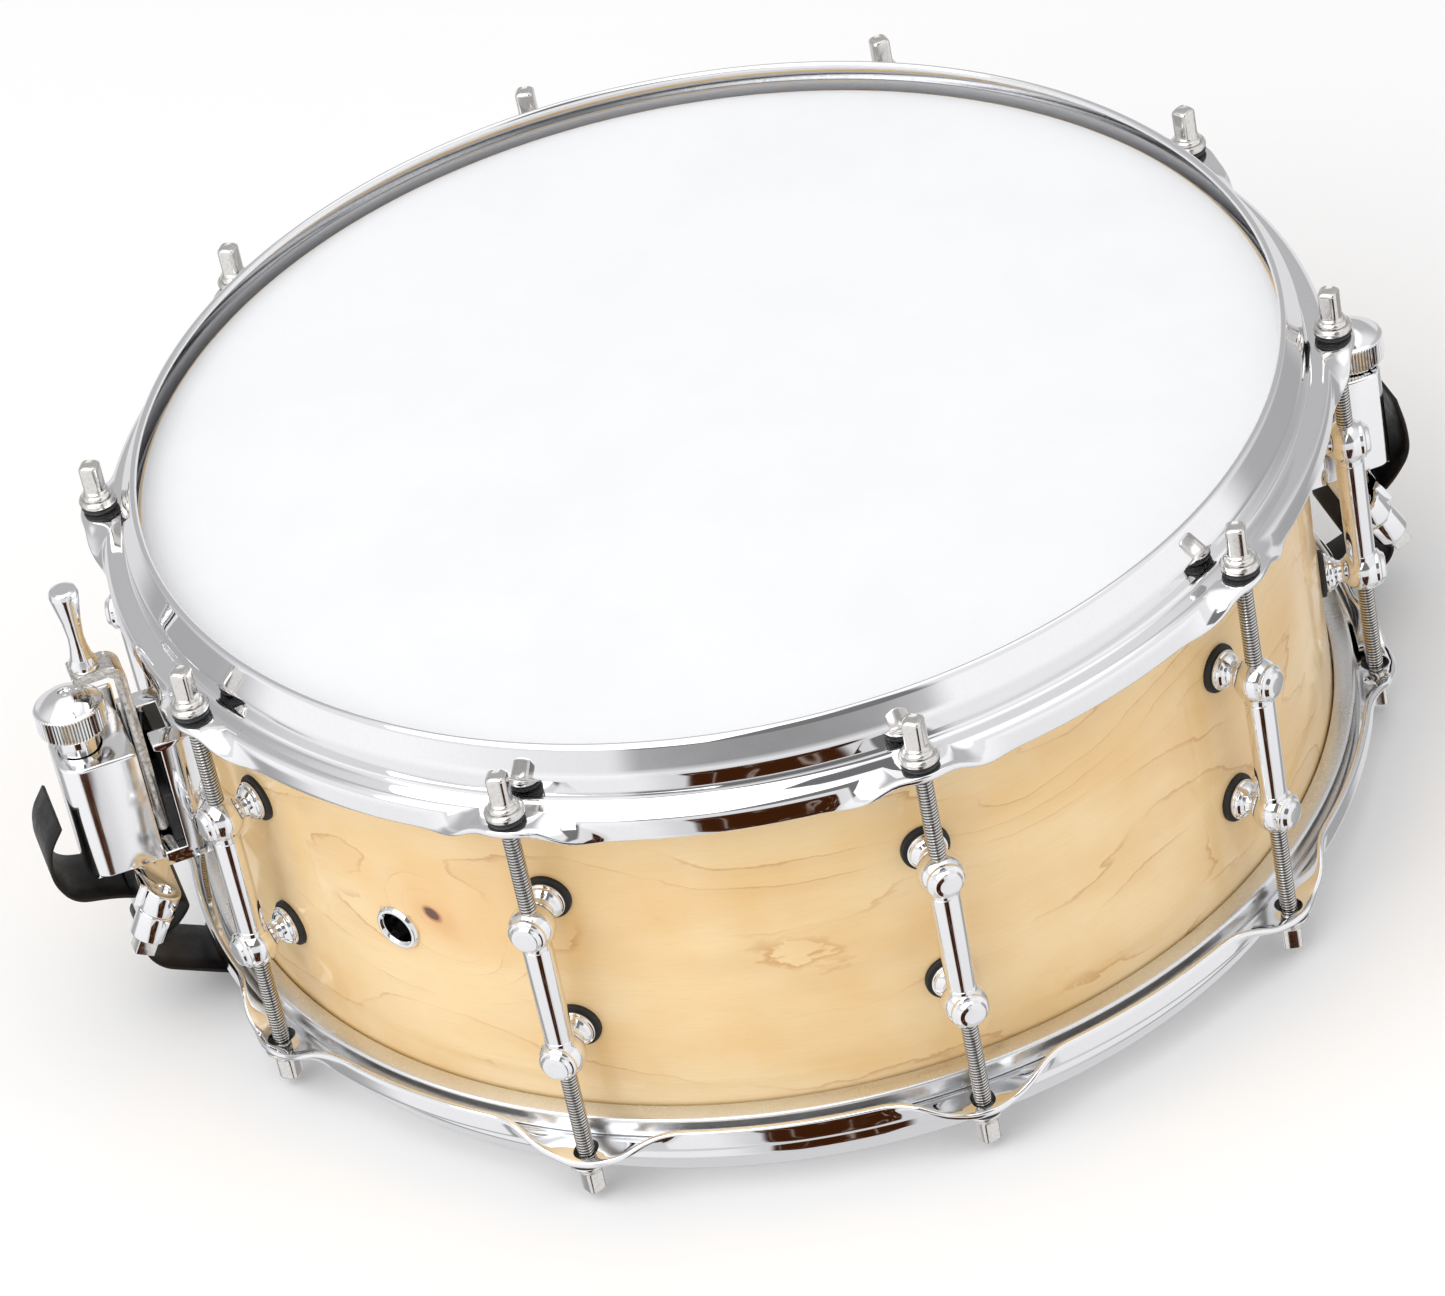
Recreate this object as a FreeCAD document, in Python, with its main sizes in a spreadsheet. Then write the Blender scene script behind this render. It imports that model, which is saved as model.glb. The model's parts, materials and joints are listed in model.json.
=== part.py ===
import FreeCAD, Part
import Sketcher
import math
import os

# A snare drum of wood with metal fittings. Lengths are in millimetres, angles in degrees.
# The drum stands on its snare-side hoop: z = 0 is that hoop's rim, and +Z runs along the drum's axis.
# The strainer is on the -X side and the butt end on the +X side.

DRIVING = {
    # shell and heads
    "shell_radius": 177.5,
    "shell_wall": 7.2,
    "shell_depth": 139.7,
    "rim_rise": 11.0,
    "edge_round": 1.5,
    "film_thickness": 0.3,
    "collar_gap": 0.3,
    "flesh_ring_width": 6.7,
    "flesh_ring_height": 7.0,
    "snare_bed_depth": 1.5,
    "snare_bed_half_width": 30.0,
    # hoops
    "hoop_sheet": 2.3,
    "hoop_shoulder_drop": 16.5,
    "hoop_skirt": 6.4,
    "hoop_lip": 1.6,
    "hoop_wall_gap": 2.5,
    "ear_reach": 7.5,
    "ear_half_width": 8.5,
    "ear_hole_radius": 3.75,
    "skirt_arch_radius": 41.0,
    "gate_half_width": 25.0,
    "gate_height": 14.5,
    # lugs
    "rod_offset": 13.5,
    "lug_spacing": 49.0,
    "lug_ball_radius": 7.0,
    "lug_tube_radius": 4.5,
    "lug_tube_sink": 2.0,
    "lug_neck_radius": 3.5,
    "lug_flange_radius": 6.25,
    "lug_step_radius": 5.25,
    "lug_cap_radius": 5.75,
    "gasket_radius": 7.5,
    "gasket_thickness": 1.5,
    "screw_radius": 2.0,
    "screw_head_radius": 4.0,
    "screw_head_height": 3.5,
    "washer_radius": 6.0,
    "washer_thickness": 1.5,
    "hole_clearance": 0.2,
    # tension rods
    "rod_radius": 2.7,
    "running_clearance": 0.05,
    "rod_square": 6.35,
    "rod_collar_radius": 4.75,
    "rod_collar_height": 2.2,
    "nylon_radius": 5.75,
    "steel_radius": 6.0,
    "batter_nylon": 2.5,
    "batter_steel": 2.0,
    "snare_nylon": 1.0,
    "snare_steel": 1.5,
    "snare_rod_tip": 3.0,
    "rod_end_gap": 9.0,
    "seat_gap": 0.05,
    # vent
    "vent_height": 80.85,
    "vent_bore_radius": 5.1,
    "vent_tube_radius": 5.9,
    "vent_flange_radius": 7.5,
    "vent_flange_thickness": 1.6,
    # snares
    "strand_radius": 0.95,
    "strand_pitch": 2.25,
    "strand_inset": 22.5,
    "end_plate_length": 17.0,
    "end_plate_half_width": 25.0,
    "end_plate_thickness": 1.6,
    "snare_head_gap": 0.35,
    # strainer, measured outwards from the shell
    "strainer_half_width": 15.0,
    "strainer_bottom": 61.0,
    "strainer_top": 106.0,
    "strainer_base_depth": 12.5,
    "strainer_gap": 7.0,
    "strainer_housing_depth": 24.0,
    "strainer_housing_top": 104.0,
    "housing_half_width": 13.0,
    "housing_corner": 8.0,
    "housing_wall": 2.5,
    "track_half_width": 7.0,
    "lever_pivot_height": 72.0,
    "lever_thickness": 3.2,
    "lever_half_width": 5.0,
    "lever_reach": 59.6,
    "lever_foot": 12.8,
    "pivot_pin_radius": 2.5,
    "grip_length": 29.4,
    "grip_radius": 4.6,
    "grip_waist": 2.5,
    "knob_radius": 10.9,
    "knob_knurl_height": 8.5,
    "knob_dome_height": 4.5,
    "knob_stem_radius": 6.75,
    "knob_stem_rise": 8.0,
    "adjust_screw_radius": 3.0,
    "slide_top_drop": 8.0,
    "slide_travel": 6.5,
    "part_clearance": 0.3,
    # butt end
    "butt_bottom": 56.0,
    "butt_top": 91.5,
    "butt_base_depth": 11.5,
    "butt_housing_depth": 24.0,
    "butt_corner": 6.0,
    # strap clamps
    "clamp_height_strainer": 44.0,
    "clamp_height_butt": 38.0,
    "clamp_screw_offset": 17.0,
    "clamp_barrel_radius": 5.75,
    "clamp_barrel_half": 4.75,
    "clamp_jaw": 6.0,
    "clamp_head_length": 5.75,
    "clamp_head_square": 6.3,
    "clamp_screw_radius": 2.5,
    "strap_half_width": 12.5,
    "strap_thickness": 1.2,
}
LUG_COUNT = 10
LUG_START = 18.0
LUG_STEP = 360.0 / LUG_COUNT
VENT_ANGLE = 216.0
STRAND_COUNT = 20
CLAMP_TILT = 30.0
STRAINER_TURN = 180.0
BUTT_TURN = 0.0
PLANE_ROLES = {"XY": "XY_Plane", "XZ": "XZ_Plane", "YZ": "YZ_Plane"}
UP = FreeCAD.Vector(0, 0, 1)

doc = FreeCAD.newDocument("snare_drum")
sheet = doc.addObject("Spreadsheet::Sheet", "Sizes")
for row, (alias, number) in enumerate(DRIVING.items(), start=1):
    sheet.set(f"A{row}", alias.replace("_", " "))
    sheet.set(f"B{row}", str(number))
    sheet.setAlias(f"B{row}", alias)
doc.recompute()


class Size:
    """A length that carries both its number and the sheet expression it comes from."""

    def __init__(self, value, text):
        self.value = float(value)
        self.text = text

    def __add__(self, other):
        other = as_size(other)
        return Size(self.value + other.value, f"({self.text} + {other.text})")

    def __sub__(self, other):
        other = as_size(other)
        return Size(self.value - other.value, f"({self.text} - {other.text})")

    def __mul__(self, other):
        other = as_size(other)
        return Size(self.value * other.value, f"({self.text} * {other.text})")

    def __truediv__(self, other):
        other = as_size(other)
        return Size(self.value / other.value, f"({self.text} / {other.text})")

    def __neg__(self):
        return Size(-self.value, f"(0 - {self.text})")

    def __radd__(self, other):
        return as_size(other) + self

    def __rsub__(self, other):
        return as_size(other) - self

    def __rmul__(self, other):
        return as_size(other) * self


def as_size(thing):
    """Give a plain number the form of a Size."""
    if isinstance(thing, Size):
        return thing
    text = repr(float(thing)) if thing >= 0 else f"(0 - {repr(float(-thing))})"
    return Size(thing, text)


def root(size):
    """Square root of a Size."""
    return Size(math.sqrt(size.value), f"sqrt({size.text})")


def leg(hypotenuse, side):
    """The other leg of a right triangle."""
    return root(hypotenuse * hypotenuse - side * side)


def get(alias):
    """The Size of one cell of the sheet."""
    return Size(float(sheet.get(alias)), f"Sizes.{alias}")


def bind(thing, prop, size):
    """Bind a property of an object to its expression."""
    size = as_size(size)
    thing.setExpression(prop, size.text)


# ---- levels and radii that several pieces share ------------------------------------------------
shell_r = get("shell_radius")
shell_in = shell_r - get("shell_wall")
rise = get("rim_rise")
shell_low = rise
shell_high = rise + get("shell_depth")
overall = get("shell_depth") + rise * 2
middle = overall / 2
edge_round = get("edge_round")
edge_r = shell_r - edge_round
collar_in = shell_r + get("collar_gap")
film = get("film_thickness")
collar_out = collar_in + film
ring_out = collar_out + get("flesh_ring_width")
sheet_thick = get("hoop_sheet")
shoulder = get("hoop_shoulder_drop")
under_ear = shoulder + sheet_thick
skirt_end = under_ear + get("hoop_skirt")
ring_height = get("flesh_ring_height")
rod_r = shell_r + get("rod_offset")
upper_ball = middle + get("lug_spacing") / 2
lower_ball = middle - get("lug_spacing") / 2
ball_r = get("lug_ball_radius")
tube_r = get("lug_tube_radius")
rod_shaft = get("rod_radius")
bore_r = rod_shaft + get("running_clearance")
gasket_face = shell_r + get("gasket_thickness")
screw_r = get("screw_radius")
gap = get("part_clearance")
strand_half = shell_r - get("strand_inset")
run = get("running_clearance")
seat = get("seat_gap")
nodes = []


# ---- building blocks ---------------------------------------------------------------------------
def new_body(label, turn=0.0, base=None, tilt=0.0, keep=True):
    """A body turned about Z; keep says that it is a sub-part and not a tool of one."""
    body = doc.addObject("PartDesign::Body", label)
    body.Label = label
    spin = FreeCAD.Rotation(UP, turn).multiply(FreeCAD.Rotation(FreeCAD.Vector(0, 1, 0), -tilt))
    body.Placement = FreeCAD.Placement(FreeCAD.Vector(0, 0, 0), spin)
    if base is not None:
        angle = math.radians(turn)
        across, height = base
        bind(body, "Placement.Base.x", as_size(across) * math.cos(angle))
        bind(body, "Placement.Base.y", as_size(across) * math.sin(angle))
        bind(body, "Placement.Base.z", height)
    if keep:
        nodes.append(body)
    return body


def origin_feature(body, role):
    """One of the body's own planes or axes."""
    for feature in body.Origin.OriginFeatures:
        if feature.Role == role:
            return feature
    raise ValueError(role)


def new_sketch(body, plane, shift=0.0, lift=0.0, turn=0.0):
    """A sketch on one of the body's planes, moved up the plane by shift and off it by lift."""
    sketch = body.newObject("Sketcher::SketchObject", body.Name + "_sketch")
    sketch.AttachmentSupport = [(origin_feature(body, PLANE_ROLES[plane]), "")]
    sketch.MapMode = "FlatFace"
    axis = UP if plane == "XY" else FreeCAD.Vector(0, 1, 0)
    turning = FreeCAD.Rotation(axis, turn)
    shift = as_size(shift)
    lift = as_size(lift)
    out = turning.multVec(FreeCAD.Vector(0, shift.value, lift.value))
    sketch.AttachmentOffset = FreeCAD.Placement(out, turning)
    if plane == "XY" or turn == 0.0:
        bind(sketch, "AttachmentOffset.Base.z", lift)
    bind(sketch, "AttachmentOffset.Base.y", shift)
    return sketch


def hold(sketch, constraint, size):
    """Add a dimension to the sketch and bind it to its expression."""
    number = sketch.addConstraint(constraint)
    sketch.setExpression(f"Constraints[{number}]", as_size(size).text)


def pin_point(sketch, edge, end, across, up):
    """Fix one end of an edge at a place measured from the sketch's origin."""
    for name, size, axis in (("DistanceX", across, -2), ("DistanceY", up, -1)):
        size = as_size(size)
        if size.value == 0.0:
            sketch.addConstraint(Sketcher.Constraint("PointOnObject", edge, end, axis))
        else:
            hold(sketch, Sketcher.Constraint(name, -1, 1, edge, end, size.value), size)


def arc_between(start, end, radius, side):
    """The short arc between two points; side is +1 when it runs anticlockwise."""
    chord = end - start
    half = chord.Length / 2
    sagitta = math.sqrt(max(radius * radius - half * half, 0.0))
    normal = FreeCAD.Vector(-chord.y, chord.x, 0).normalize() * side
    centre = (start + end) / 2 + normal * sagitta
    first, last = (start, end) if side > 0 else (end, start)
    angles = [math.atan2(p.y - centre.y, p.x - centre.x) for p in (first, last)]
    circle = Part.Circle(centre, UP, radius)
    return Part.ArcOfCircle(circle, angles[0], angles[1])


def draw_outline(sketch, points):
    """A closed outline: (across, up) ends a line, (across, up, radius, side) ends an arc."""
    first_edge = sketch.GeometryCount
    ends = [FreeCAD.Vector(as_size(p[0]).value, as_size(p[1]).value, 0) for p in points]
    heads = []
    tails = []
    for index, point in enumerate(points):
        start = ends[index - 1]
        end = ends[index]
        if len(point) == 4:
            edge = sketch.addGeometry(arc_between(start, end, as_size(point[2]).value, point[3]))
            heads.append((edge, 2 if point[3] > 0 else 1))
            tails.append((edge, 1 if point[3] > 0 else 2))
        else:
            edge = sketch.addGeometry(Part.LineSegment(start, end))
            heads.append((edge, 2))
            tails.append((edge, 1))
    count = len(points)
    for index in range(count):
        following = (index + 1) % count
        sketch.addConstraint(Sketcher.Constraint("Coincident", *heads[index], *tails[following]))
    for index, point in enumerate(points):
        pin_point(sketch, *heads[index], point[0], point[1])
        if len(point) == 4:
            radius = as_size(point[2])
            hold(sketch, Sketcher.Constraint("Radius", first_edge + index, radius.value), radius)
    return sketch


def draw_circle(sketch, across, up, radius):
    """A circle with its centre and radius held."""
    centre = FreeCAD.Vector(as_size(across).value, as_size(up).value, 0)
    edge = sketch.addGeometry(Part.Circle(centre, UP, as_size(radius).value))
    pin_point(sketch, edge, 3, across, up)
    hold(sketch, Sketcher.Constraint("Radius", edge, as_size(radius).value), radius)
    return sketch


def draw_rectangle(sketch, low_across, high_across, low_up, high_up):
    """A rectangle with its four sides held."""
    corners = [(low_across, low_up), (high_across, low_up), (high_across, high_up), (low_across, high_up)]
    return draw_outline(sketch, corners)


def feature_of(body, kind, sketch):
    """A PartDesign feature on a sketch."""
    feature = body.newObject("PartDesign::" + kind, f"{body.Name}_{kind}")
    feature.Profile = sketch
    sketch.Visibility = False
    return feature


def spin(body, sketch, axis="V_Axis", cut=False):
    """Turn a sketch about one of its axes, adding or cutting."""
    feature = feature_of(body, "Groove" if cut else "Revolution", sketch)
    feature.ReferenceAxis = (sketch, [axis])
    feature.Angle = 360
    return feature


def pad(body, sketch, length, both_ways=False):
    """Push a sketch along its normal, or half each way."""
    feature = feature_of(body, "Pad", sketch)
    bind(feature, "Length", length)
    if both_ways:
        feature.Midplane = True
    return feature


def pocket(body, sketch, length, both_ways=False):
    """Cut a sketch along its normal, or half each way; it has to take material away."""
    doc.recompute()
    before = body.Tip.Shape.Volume
    feature = feature_of(body, "Pocket", sketch)
    bind(feature, "Length", length)
    if both_ways:
        feature.Midplane = True
    else:
        feature.Reversed = True
    doc.recompute()
    if feature.Shape.Volume >= before - 1e-6:
        raise ValueError(f"a pocket in {body.Label} cuts nothing: {before} {feature.Shape.Volume}")
    return feature


def ring_of(body, originals, count=LUG_COUNT):
    """Repeat features evenly about the drum's axis."""
    pattern = body.newObject("PartDesign::PolarPattern", body.Name + "_ring")
    pattern.Originals = originals
    pattern.Axis = (origin_feature(body, "Z_Axis"), [""])
    pattern.Angle = 360
    pattern.Occurrences = count
    body.Tip = pattern
    return pattern


def finish_object(thing, label, turn=0.0):
    """Name a boolean result as a sub-part and turn it to its side of the drum."""
    thing.Label = label
    thing.Placement = FreeCAD.Placement(FreeCAD.Vector(0, 0, 0), FreeCAD.Rotation(UP, turn))
    nodes.append(thing)
    return thing


def box(name, low_x, high_x, half_y, low_z, high_z):
    """A block centred on y = 0."""
    block = doc.addObject("Part::Box", name)
    bind(block, "Length", high_x - low_x)
    bind(block, "Width", half_y * 2)
    bind(block, "Height", high_z - low_z)
    bind(block, "Placement.Base.x", low_x)
    bind(block, "Placement.Base.y", -half_y)
    bind(block, "Placement.Base.z", low_z)
    return block


def rod(name, radius, across, low_z, high_z):
    """An upright cylinder at a distance from the axis."""
    cylinder = doc.addObject("Part::Cylinder", name)
    bind(cylinder, "Radius", radius)
    bind(cylinder, "Height", high_z - low_z)
    bind(cylinder, "Placement.Base.x", across)
    bind(cylinder, "Placement.Base.z", low_z)
    return cylinder


def fuse(name, pieces):
    """Join solids into one."""
    joined = doc.addObject("Part::MultiFuse", name)
    joined.Shapes = pieces
    joined.Refine = True
    return joined


def cut(name, base, tool):
    """Take one solid out of another."""
    result = doc.addObject("Part::Cut", name)
    result.Base = base
    result.Tool = tool
    return result


# ---- shell -------------------------------------------------------------------------------------
FAR = 260.0


def make_shell():
    """The wooden shell: bevelled bearing edges, snare beds, and the holes for its fittings."""
    body = new_body("shell")
    bevel = edge_r - shell_in
    profile = [
        (shell_in, shell_low + bevel),
        (edge_r, shell_low),
        (shell_r, shell_low + edge_round),
        (shell_r, shell_high - edge_round),
        (edge_r, shell_high),
        (shell_in, shell_high - bevel),
    ]
    spin(body, draw_outline(new_sketch(body, "XZ"), profile))
    doc.recompute()
    bed = get("snare_bed_half_width")
    beds = draw_rectangle(new_sketch(body, "YZ"), -bed, bed, shell_low - 5, shell_low + get("snare_bed_depth"))
    pocket(body, beds, 2 * FAR, both_ways=True)
    hole = screw_r + get("hole_clearance")
    holes = new_sketch(body, "YZ", turn=LUG_START)
    draw_circle(holes, 0, upper_ball, hole)
    draw_circle(holes, 0, lower_ball, hole)
    ring_of(body, [pocket(body, holes, FAR)])
    fixings = new_sketch(body, "YZ")
    for height in fixing_heights():
        draw_circle(fixings, 0, height, hole)
    pocket(body, fixings, 2 * FAR, both_ways=True)
    vent = new_sketch(body, "YZ", turn=VENT_ANGLE)
    draw_circle(vent, 0, get("vent_height"), get("vent_tube_radius"))
    pocket(body, vent, FAR)


def fixing_heights():
    """Heights of the two screws that hold each fitting to the shell."""
    low = get("strainer_bottom") + 5
    return low, low + 16


def make_vent():
    """The metal grommet that lines the air vent."""
    body = new_body("vent_grommet", turn=VENT_ANGLE)
    bore = get("vent_bore_radius")
    tube = get("vent_tube_radius")
    flange = get("vent_flange_radius")
    face = shell_r + get("vent_flange_thickness")
    profile = [
        (shell_in - 1, bore),
        (face - 0.6, bore),
        (face, bore + 0.6),
        (face, flange - 1),
        (shell_r + 0.3, flange),
        (shell_r, flange),
        (shell_r, tube),
        (shell_in - 1, tube),
    ]
    spin(body, draw_outline(new_sketch(body, "XZ", shift=get("vent_height")), profile), "H_Axis")


# ---- heads -------------------------------------------------------------------------------------
def make_head(name, plane, outward):
    """A drum head: a thin film folded over the bearing edge, and the metal ring that holds it."""
    body = new_body(name)
    hoop_face = overall - under_ear if outward > 0 else under_ear
    fold_end = hoop_face - ring_height / 2 * outward
    skin = [
        (0, plane),
        (collar_in, plane),
        (collar_in, fold_end),
        (collar_out, fold_end),
        (collar_out, plane + film * outward),
        (0, plane + film * outward),
    ]
    spin(body, draw_outline(new_sketch(body, "XZ"), skin))
    ring = new_body(name + "_ring")
    inner_face = hoop_face - ring_height * outward
    section = [(collar_out, hoop_face), (ring_out, hoop_face), (ring_out, inner_face), (collar_out, inner_face)]
    spin(ring, draw_outline(new_sketch(ring, "XZ"), section))


# ---- hoops -------------------------------------------------------------------------------------
def make_hoop(name, level, gates):
    """A pressed hoop; level turns a drop below its rim into a height."""
    body = new_body(name)
    lip = edge_r + 0.2
    wall = ring_out - get("hoop_wall_gap")
    skirt = ring_out + 5.2
    profile = [
        (lip, level(0)),
        (lip + get("hoop_lip"), level(0)),
        (wall, level(8)),
        (wall, level(shoulder - 2)),
        (wall + 2, level(shoulder)),
        (skirt - 2, level(shoulder)),
        (skirt, level(shoulder + 2)),
        (skirt, level(skirt_end)),
        (skirt - sheet_thick, level(skirt_end)),
        (skirt - sheet_thick, level(under_ear)),
        (wall - sheet_thick, level(under_ear)),
        (wall - sheet_thick, level(8.5)),
    ]
    spin(body, draw_outline(new_sketch(body, "XZ"), profile))
    doc.recompute()
    arch = new_sketch(body, "YZ", turn=LUG_START)
    arch_r = get("skirt_arch_radius")
    draw_circle(arch, 0, level(under_ear + arch_r), arch_r)
    ring_of(body, [pocket(body, arch, FAR)])
    reach = rod_r + get("ear_reach")
    half = get("ear_half_width")
    low_face = level(under_ear) if level(0).value > level(under_ear).value else level(shoulder)
    ear = new_sketch(body, "XY", lift=low_face, turn=LUG_START)
    draw_outline(ear, [
        (rod_r - 8, -half - 10),
        (rod_r, -half - 3),
        (reach - 3, -half + 1),
        (reach - 3, half - 1, half * 1.6, 1),
        (rod_r, half + 3),
        (rod_r - 8, half + 10),
    ])
    hole = new_sketch(body, "XY", lift=low_face - 1, turn=LUG_START)
    draw_circle(hole, rod_r, 0, get("ear_hole_radius"))
    ears = ring_of(body, [pad(body, ear, sheet_thick)])
    doc.recompute()
    ring_of(body, [pocket(body, hole, sheet_thick + 2)])
    if gates:
        gate = get("gate_half_width")
        notch = draw_rectangle(new_sketch(body, "YZ"), -gate, gate, level(-1), level(get("gate_height")))
        doc.recompute()
        pocket(body, notch, 2 * FAR, both_ways=True)


# ---- lugs --------------------------------------------------------------------------------------
def make_lug_posts():
    """Two posts to a lug, each a stepped foot, a neck, a ball with a capped front, and its bores."""
    body = new_body("lug_posts")
    neck = get("lug_neck_radius")
    flange = get("lug_flange_radius")
    step = get("lug_step_radius")
    cap = get("lug_cap_radius")
    cap_back = rod_r + leg(ball_r, cap)
    cap_front = cap_back + 1.6
    thread_end = gasket_face + 5
    profile = [
        (gasket_face, screw_r),
        (thread_end, screw_r),
        (thread_end, 0),
        (cap_front + 1.6, 0),
        (cap_front + 1.6, cap - 1.7),
        (cap_front + 0.8, cap - 1.2),
        (cap_front, cap - 0.5),
        (cap_front - 0.6, cap),
        (cap_back, cap),
        (rod_r - leg(ball_r, neck), neck, ball_r, 1),
        (gasket_face + 3.5, neck),
        (gasket_face + 3.5, step),
        (gasket_face + 2, step),
        (gasket_face + 2, flange),
        (gasket_face, flange),
    ]
    turned = []
    for height in (lower_ball, upper_ball):
        sketch = new_sketch(body, "XZ", shift=height, turn=LUG_START)
        turned.append(spin(body, draw_outline(sketch, profile), "H_Axis"))
    doc.recompute()
    ring_of(body, turned)
    doc.recompute()
    bore = new_sketch(body, "XY", lift=lower_ball - ball_r - 1, turn=LUG_START)
    draw_circle(bore, rod_r, 0, bore_r)
    bored = pocket(body, bore, get("lug_spacing") + ball_r * 2 + 2)
    sink = ball_r - get("lug_tube_sink")
    socket = new_sketch(body, "XY", lift=lower_ball + sink, turn=LUG_START)
    draw_circle(socket, rod_r, 0, tube_r)
    ring_of(body, [bored, pocket(body, socket, get("lug_spacing") - sink * 2)])


def make_lug_tubes():
    """The tube that joins the two balls of each lug."""
    body = new_body("lug_tubes")
    sink = ball_r - get("lug_tube_sink")
    ring = new_sketch(body, "XY", lift=lower_ball + sink, turn=LUG_START)
    draw_circle(ring, rod_r, 0, tube_r)
    draw_circle(ring, rod_r, 0, bore_r)
    ring_of(body, [pad(body, ring, get("lug_spacing") - sink * 2)])


def make_round_set(name, inner, outer, near, far):
    """Twenty rings that lie square to the radii of the lug screws."""
    body = new_body(name)
    turned = []
    for height in (lower_ball, upper_ball):
        section = [(near, inner), (far, inner), (far, outer), (near, outer)]
        sketch = new_sketch(body, "XZ", shift=height, turn=LUG_START)
        turned.append(spin(body, draw_outline(sketch, section), "H_Axis"))
    doc.recompute()
    ring_of(body, turned)


def washer_face():
    """Where a flat washer meets the hollow wall inside the shell."""
    return leg(shell_in, get("washer_radius"))


def screw_profile():
    """A cheese-head screw with its tip in the fitting outside the shell."""
    seat_face = washer_face() - get("washer_thickness")
    head_end = seat_face - get("screw_head_height")
    tip = gasket_face + 5
    return [
        (head_end, 0),
        (tip, 0),
        (tip, screw_r),
        (seat_face, screw_r),
        (seat_face, get("screw_head_radius")),
        (head_end, get("screw_head_radius")),
    ]


def make_lug_screws():
    """The screws that hold the lugs, with their heads inside the shell."""
    body = new_body("lug_screws")
    turned = []
    for height in (lower_ball, upper_ball):
        sketch = new_sketch(body, "XZ", shift=height, turn=LUG_START)
        turned.append(spin(body, draw_outline(sketch, screw_profile()), "H_Axis"))
    doc.recompute()
    ring_of(body, turned)


def make_fixing_screws():
    """The four screws that hold the strainer and the butt end."""
    body = new_body("fitting_screws")
    turned = []
    for height in fixing_heights():
        sketch = new_sketch(body, "XZ", shift=height)
        turned.append(spin(body, draw_outline(sketch, screw_profile()), "H_Axis"))
    doc.recompute()
    ring_of(body, turned, count=2)


# ---- tension rods ------------------------------------------------------------------------------
def make_rod(name, angle, ear_face, outward, tip, stack):
    """A tension rod: threaded shaft, collar and a square head that a drum key turns."""
    body = new_body(name, turn=angle, base=(rod_r, 0))
    collar_low = ear_face + (stack + seat) * outward
    collar_high = collar_low + get("rod_collar_height") * outward
    ball = upper_ball if outward > 0 else lower_ball
    shaft_end = ball - get("rod_end_gap") * outward
    shaft = [
        (0, shaft_end),
        (rod_shaft - 0.5, shaft_end),
        (rod_shaft, shaft_end + 0.5 * outward),
        (rod_shaft, collar_low),
        (get("rod_collar_radius"), collar_low),
        (get("rod_collar_radius"), collar_high),
        (0, collar_high),
    ]
    spin(body, draw_outline(new_sketch(body, "XZ"), shaft))
    half = get("rod_square") / 2
    low, high = (collar_high, tip) if outward > 0 else (tip, collar_high)
    square = draw_rectangle(new_sketch(body, "XY", lift=low), -half, half, -half, half)
    pad(body, square, high - low)
    doc.recompute()
    corner = [
        (half - 0.4, tip),
        (half * 1.5, tip),
        (half * 1.5, tip - 1.9 * outward),
    ]
    spin(body, draw_outline(new_sketch(body, "XZ"), corner), cut=True)


def make_rods():
    """Ten rods to each head, numbered anticlockwise from above."""
    top_stack = get("batter_nylon") + get("batter_steel")
    low_stack = get("snare_nylon") + get("snare_steel")
    for index in range(LUG_COUNT):
        angle = LUG_START + LUG_STEP * index
        make_rod(f"batter_rod_{index + 1:02d}", angle, overall - shoulder, 1, overall, top_stack)
    for index in range(LUG_COUNT):
        angle = LUG_START + LUG_STEP * index
        make_rod(f"snare_rod_{index + 1:02d}", angle, shoulder, -1, get("snare_rod_tip"), low_stack)


def make_rod_washers(name, radius, top_low, top_high, low_low, low_high):
    """One washer under each of the twenty rods."""
    body = new_body(name)
    pads = []
    for low, high in ((low_low, low_high), (top_low, top_high)):
        ring = new_sketch(body, "XY", lift=low, turn=LUG_START)
        draw_circle(ring, rod_r, 0, radius)
        draw_circle(ring, rod_r, 0, bore_r + get("hole_clearance"))
        pads.append(pad(body, ring, high - low))
    doc.recompute()
    ring_of(body, pads)


# ---- snares ------------------------------------------------------------------------------------
def make_snares():
    """Twenty strands between two end plates, under the snare-side head."""
    radius = get("strand_radius")
    centre = shell_low - film - get("snare_head_gap") - radius
    half = strand_half
    body = new_body("snare_wires")
    ends = new_sketch(body, "YZ")
    for index in range(STRAND_COUNT):
        draw_circle(ends, get("strand_pitch") * (index - (STRAND_COUNT - 1) / 2), centre, radius)
    pad(body, ends, half * 2, both_ways=True)
    plates = new_body("snare_end_plates")
    width = get("end_plate_half_width")
    bottom = centre - get("end_plate_thickness") / 2
    far = half + get("end_plate_length")
    for near_x, far_x in ((half, far), (-far, -half)):
        face = draw_rectangle(new_sketch(plates, "XY", lift=bottom), near_x, far_x, -width, width)
        pad(plates, face, get("end_plate_thickness"))


# ---- strainer ----------------------------------------------------------------------------------
strainer_low = get("strainer_bottom")
strainer_face = shell_r + get("strainer_base_depth")
housing_back = strainer_face + get("strainer_gap")
housing_front = housing_back + get("strainer_housing_depth")
housing_half = get("housing_half_width")
housing_wall = get("housing_wall")
housing_top = get("strainer_housing_top")
slide_top = housing_top - get("slide_top_drop")
knob_x = housing_front - 9
lever_x = strainer_face + 3
pivot_z = get("lever_pivot_height")
lever_half = get("lever_half_width")
lever_t = get("lever_thickness")
strainer_half = get("strainer_half_width")


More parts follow.
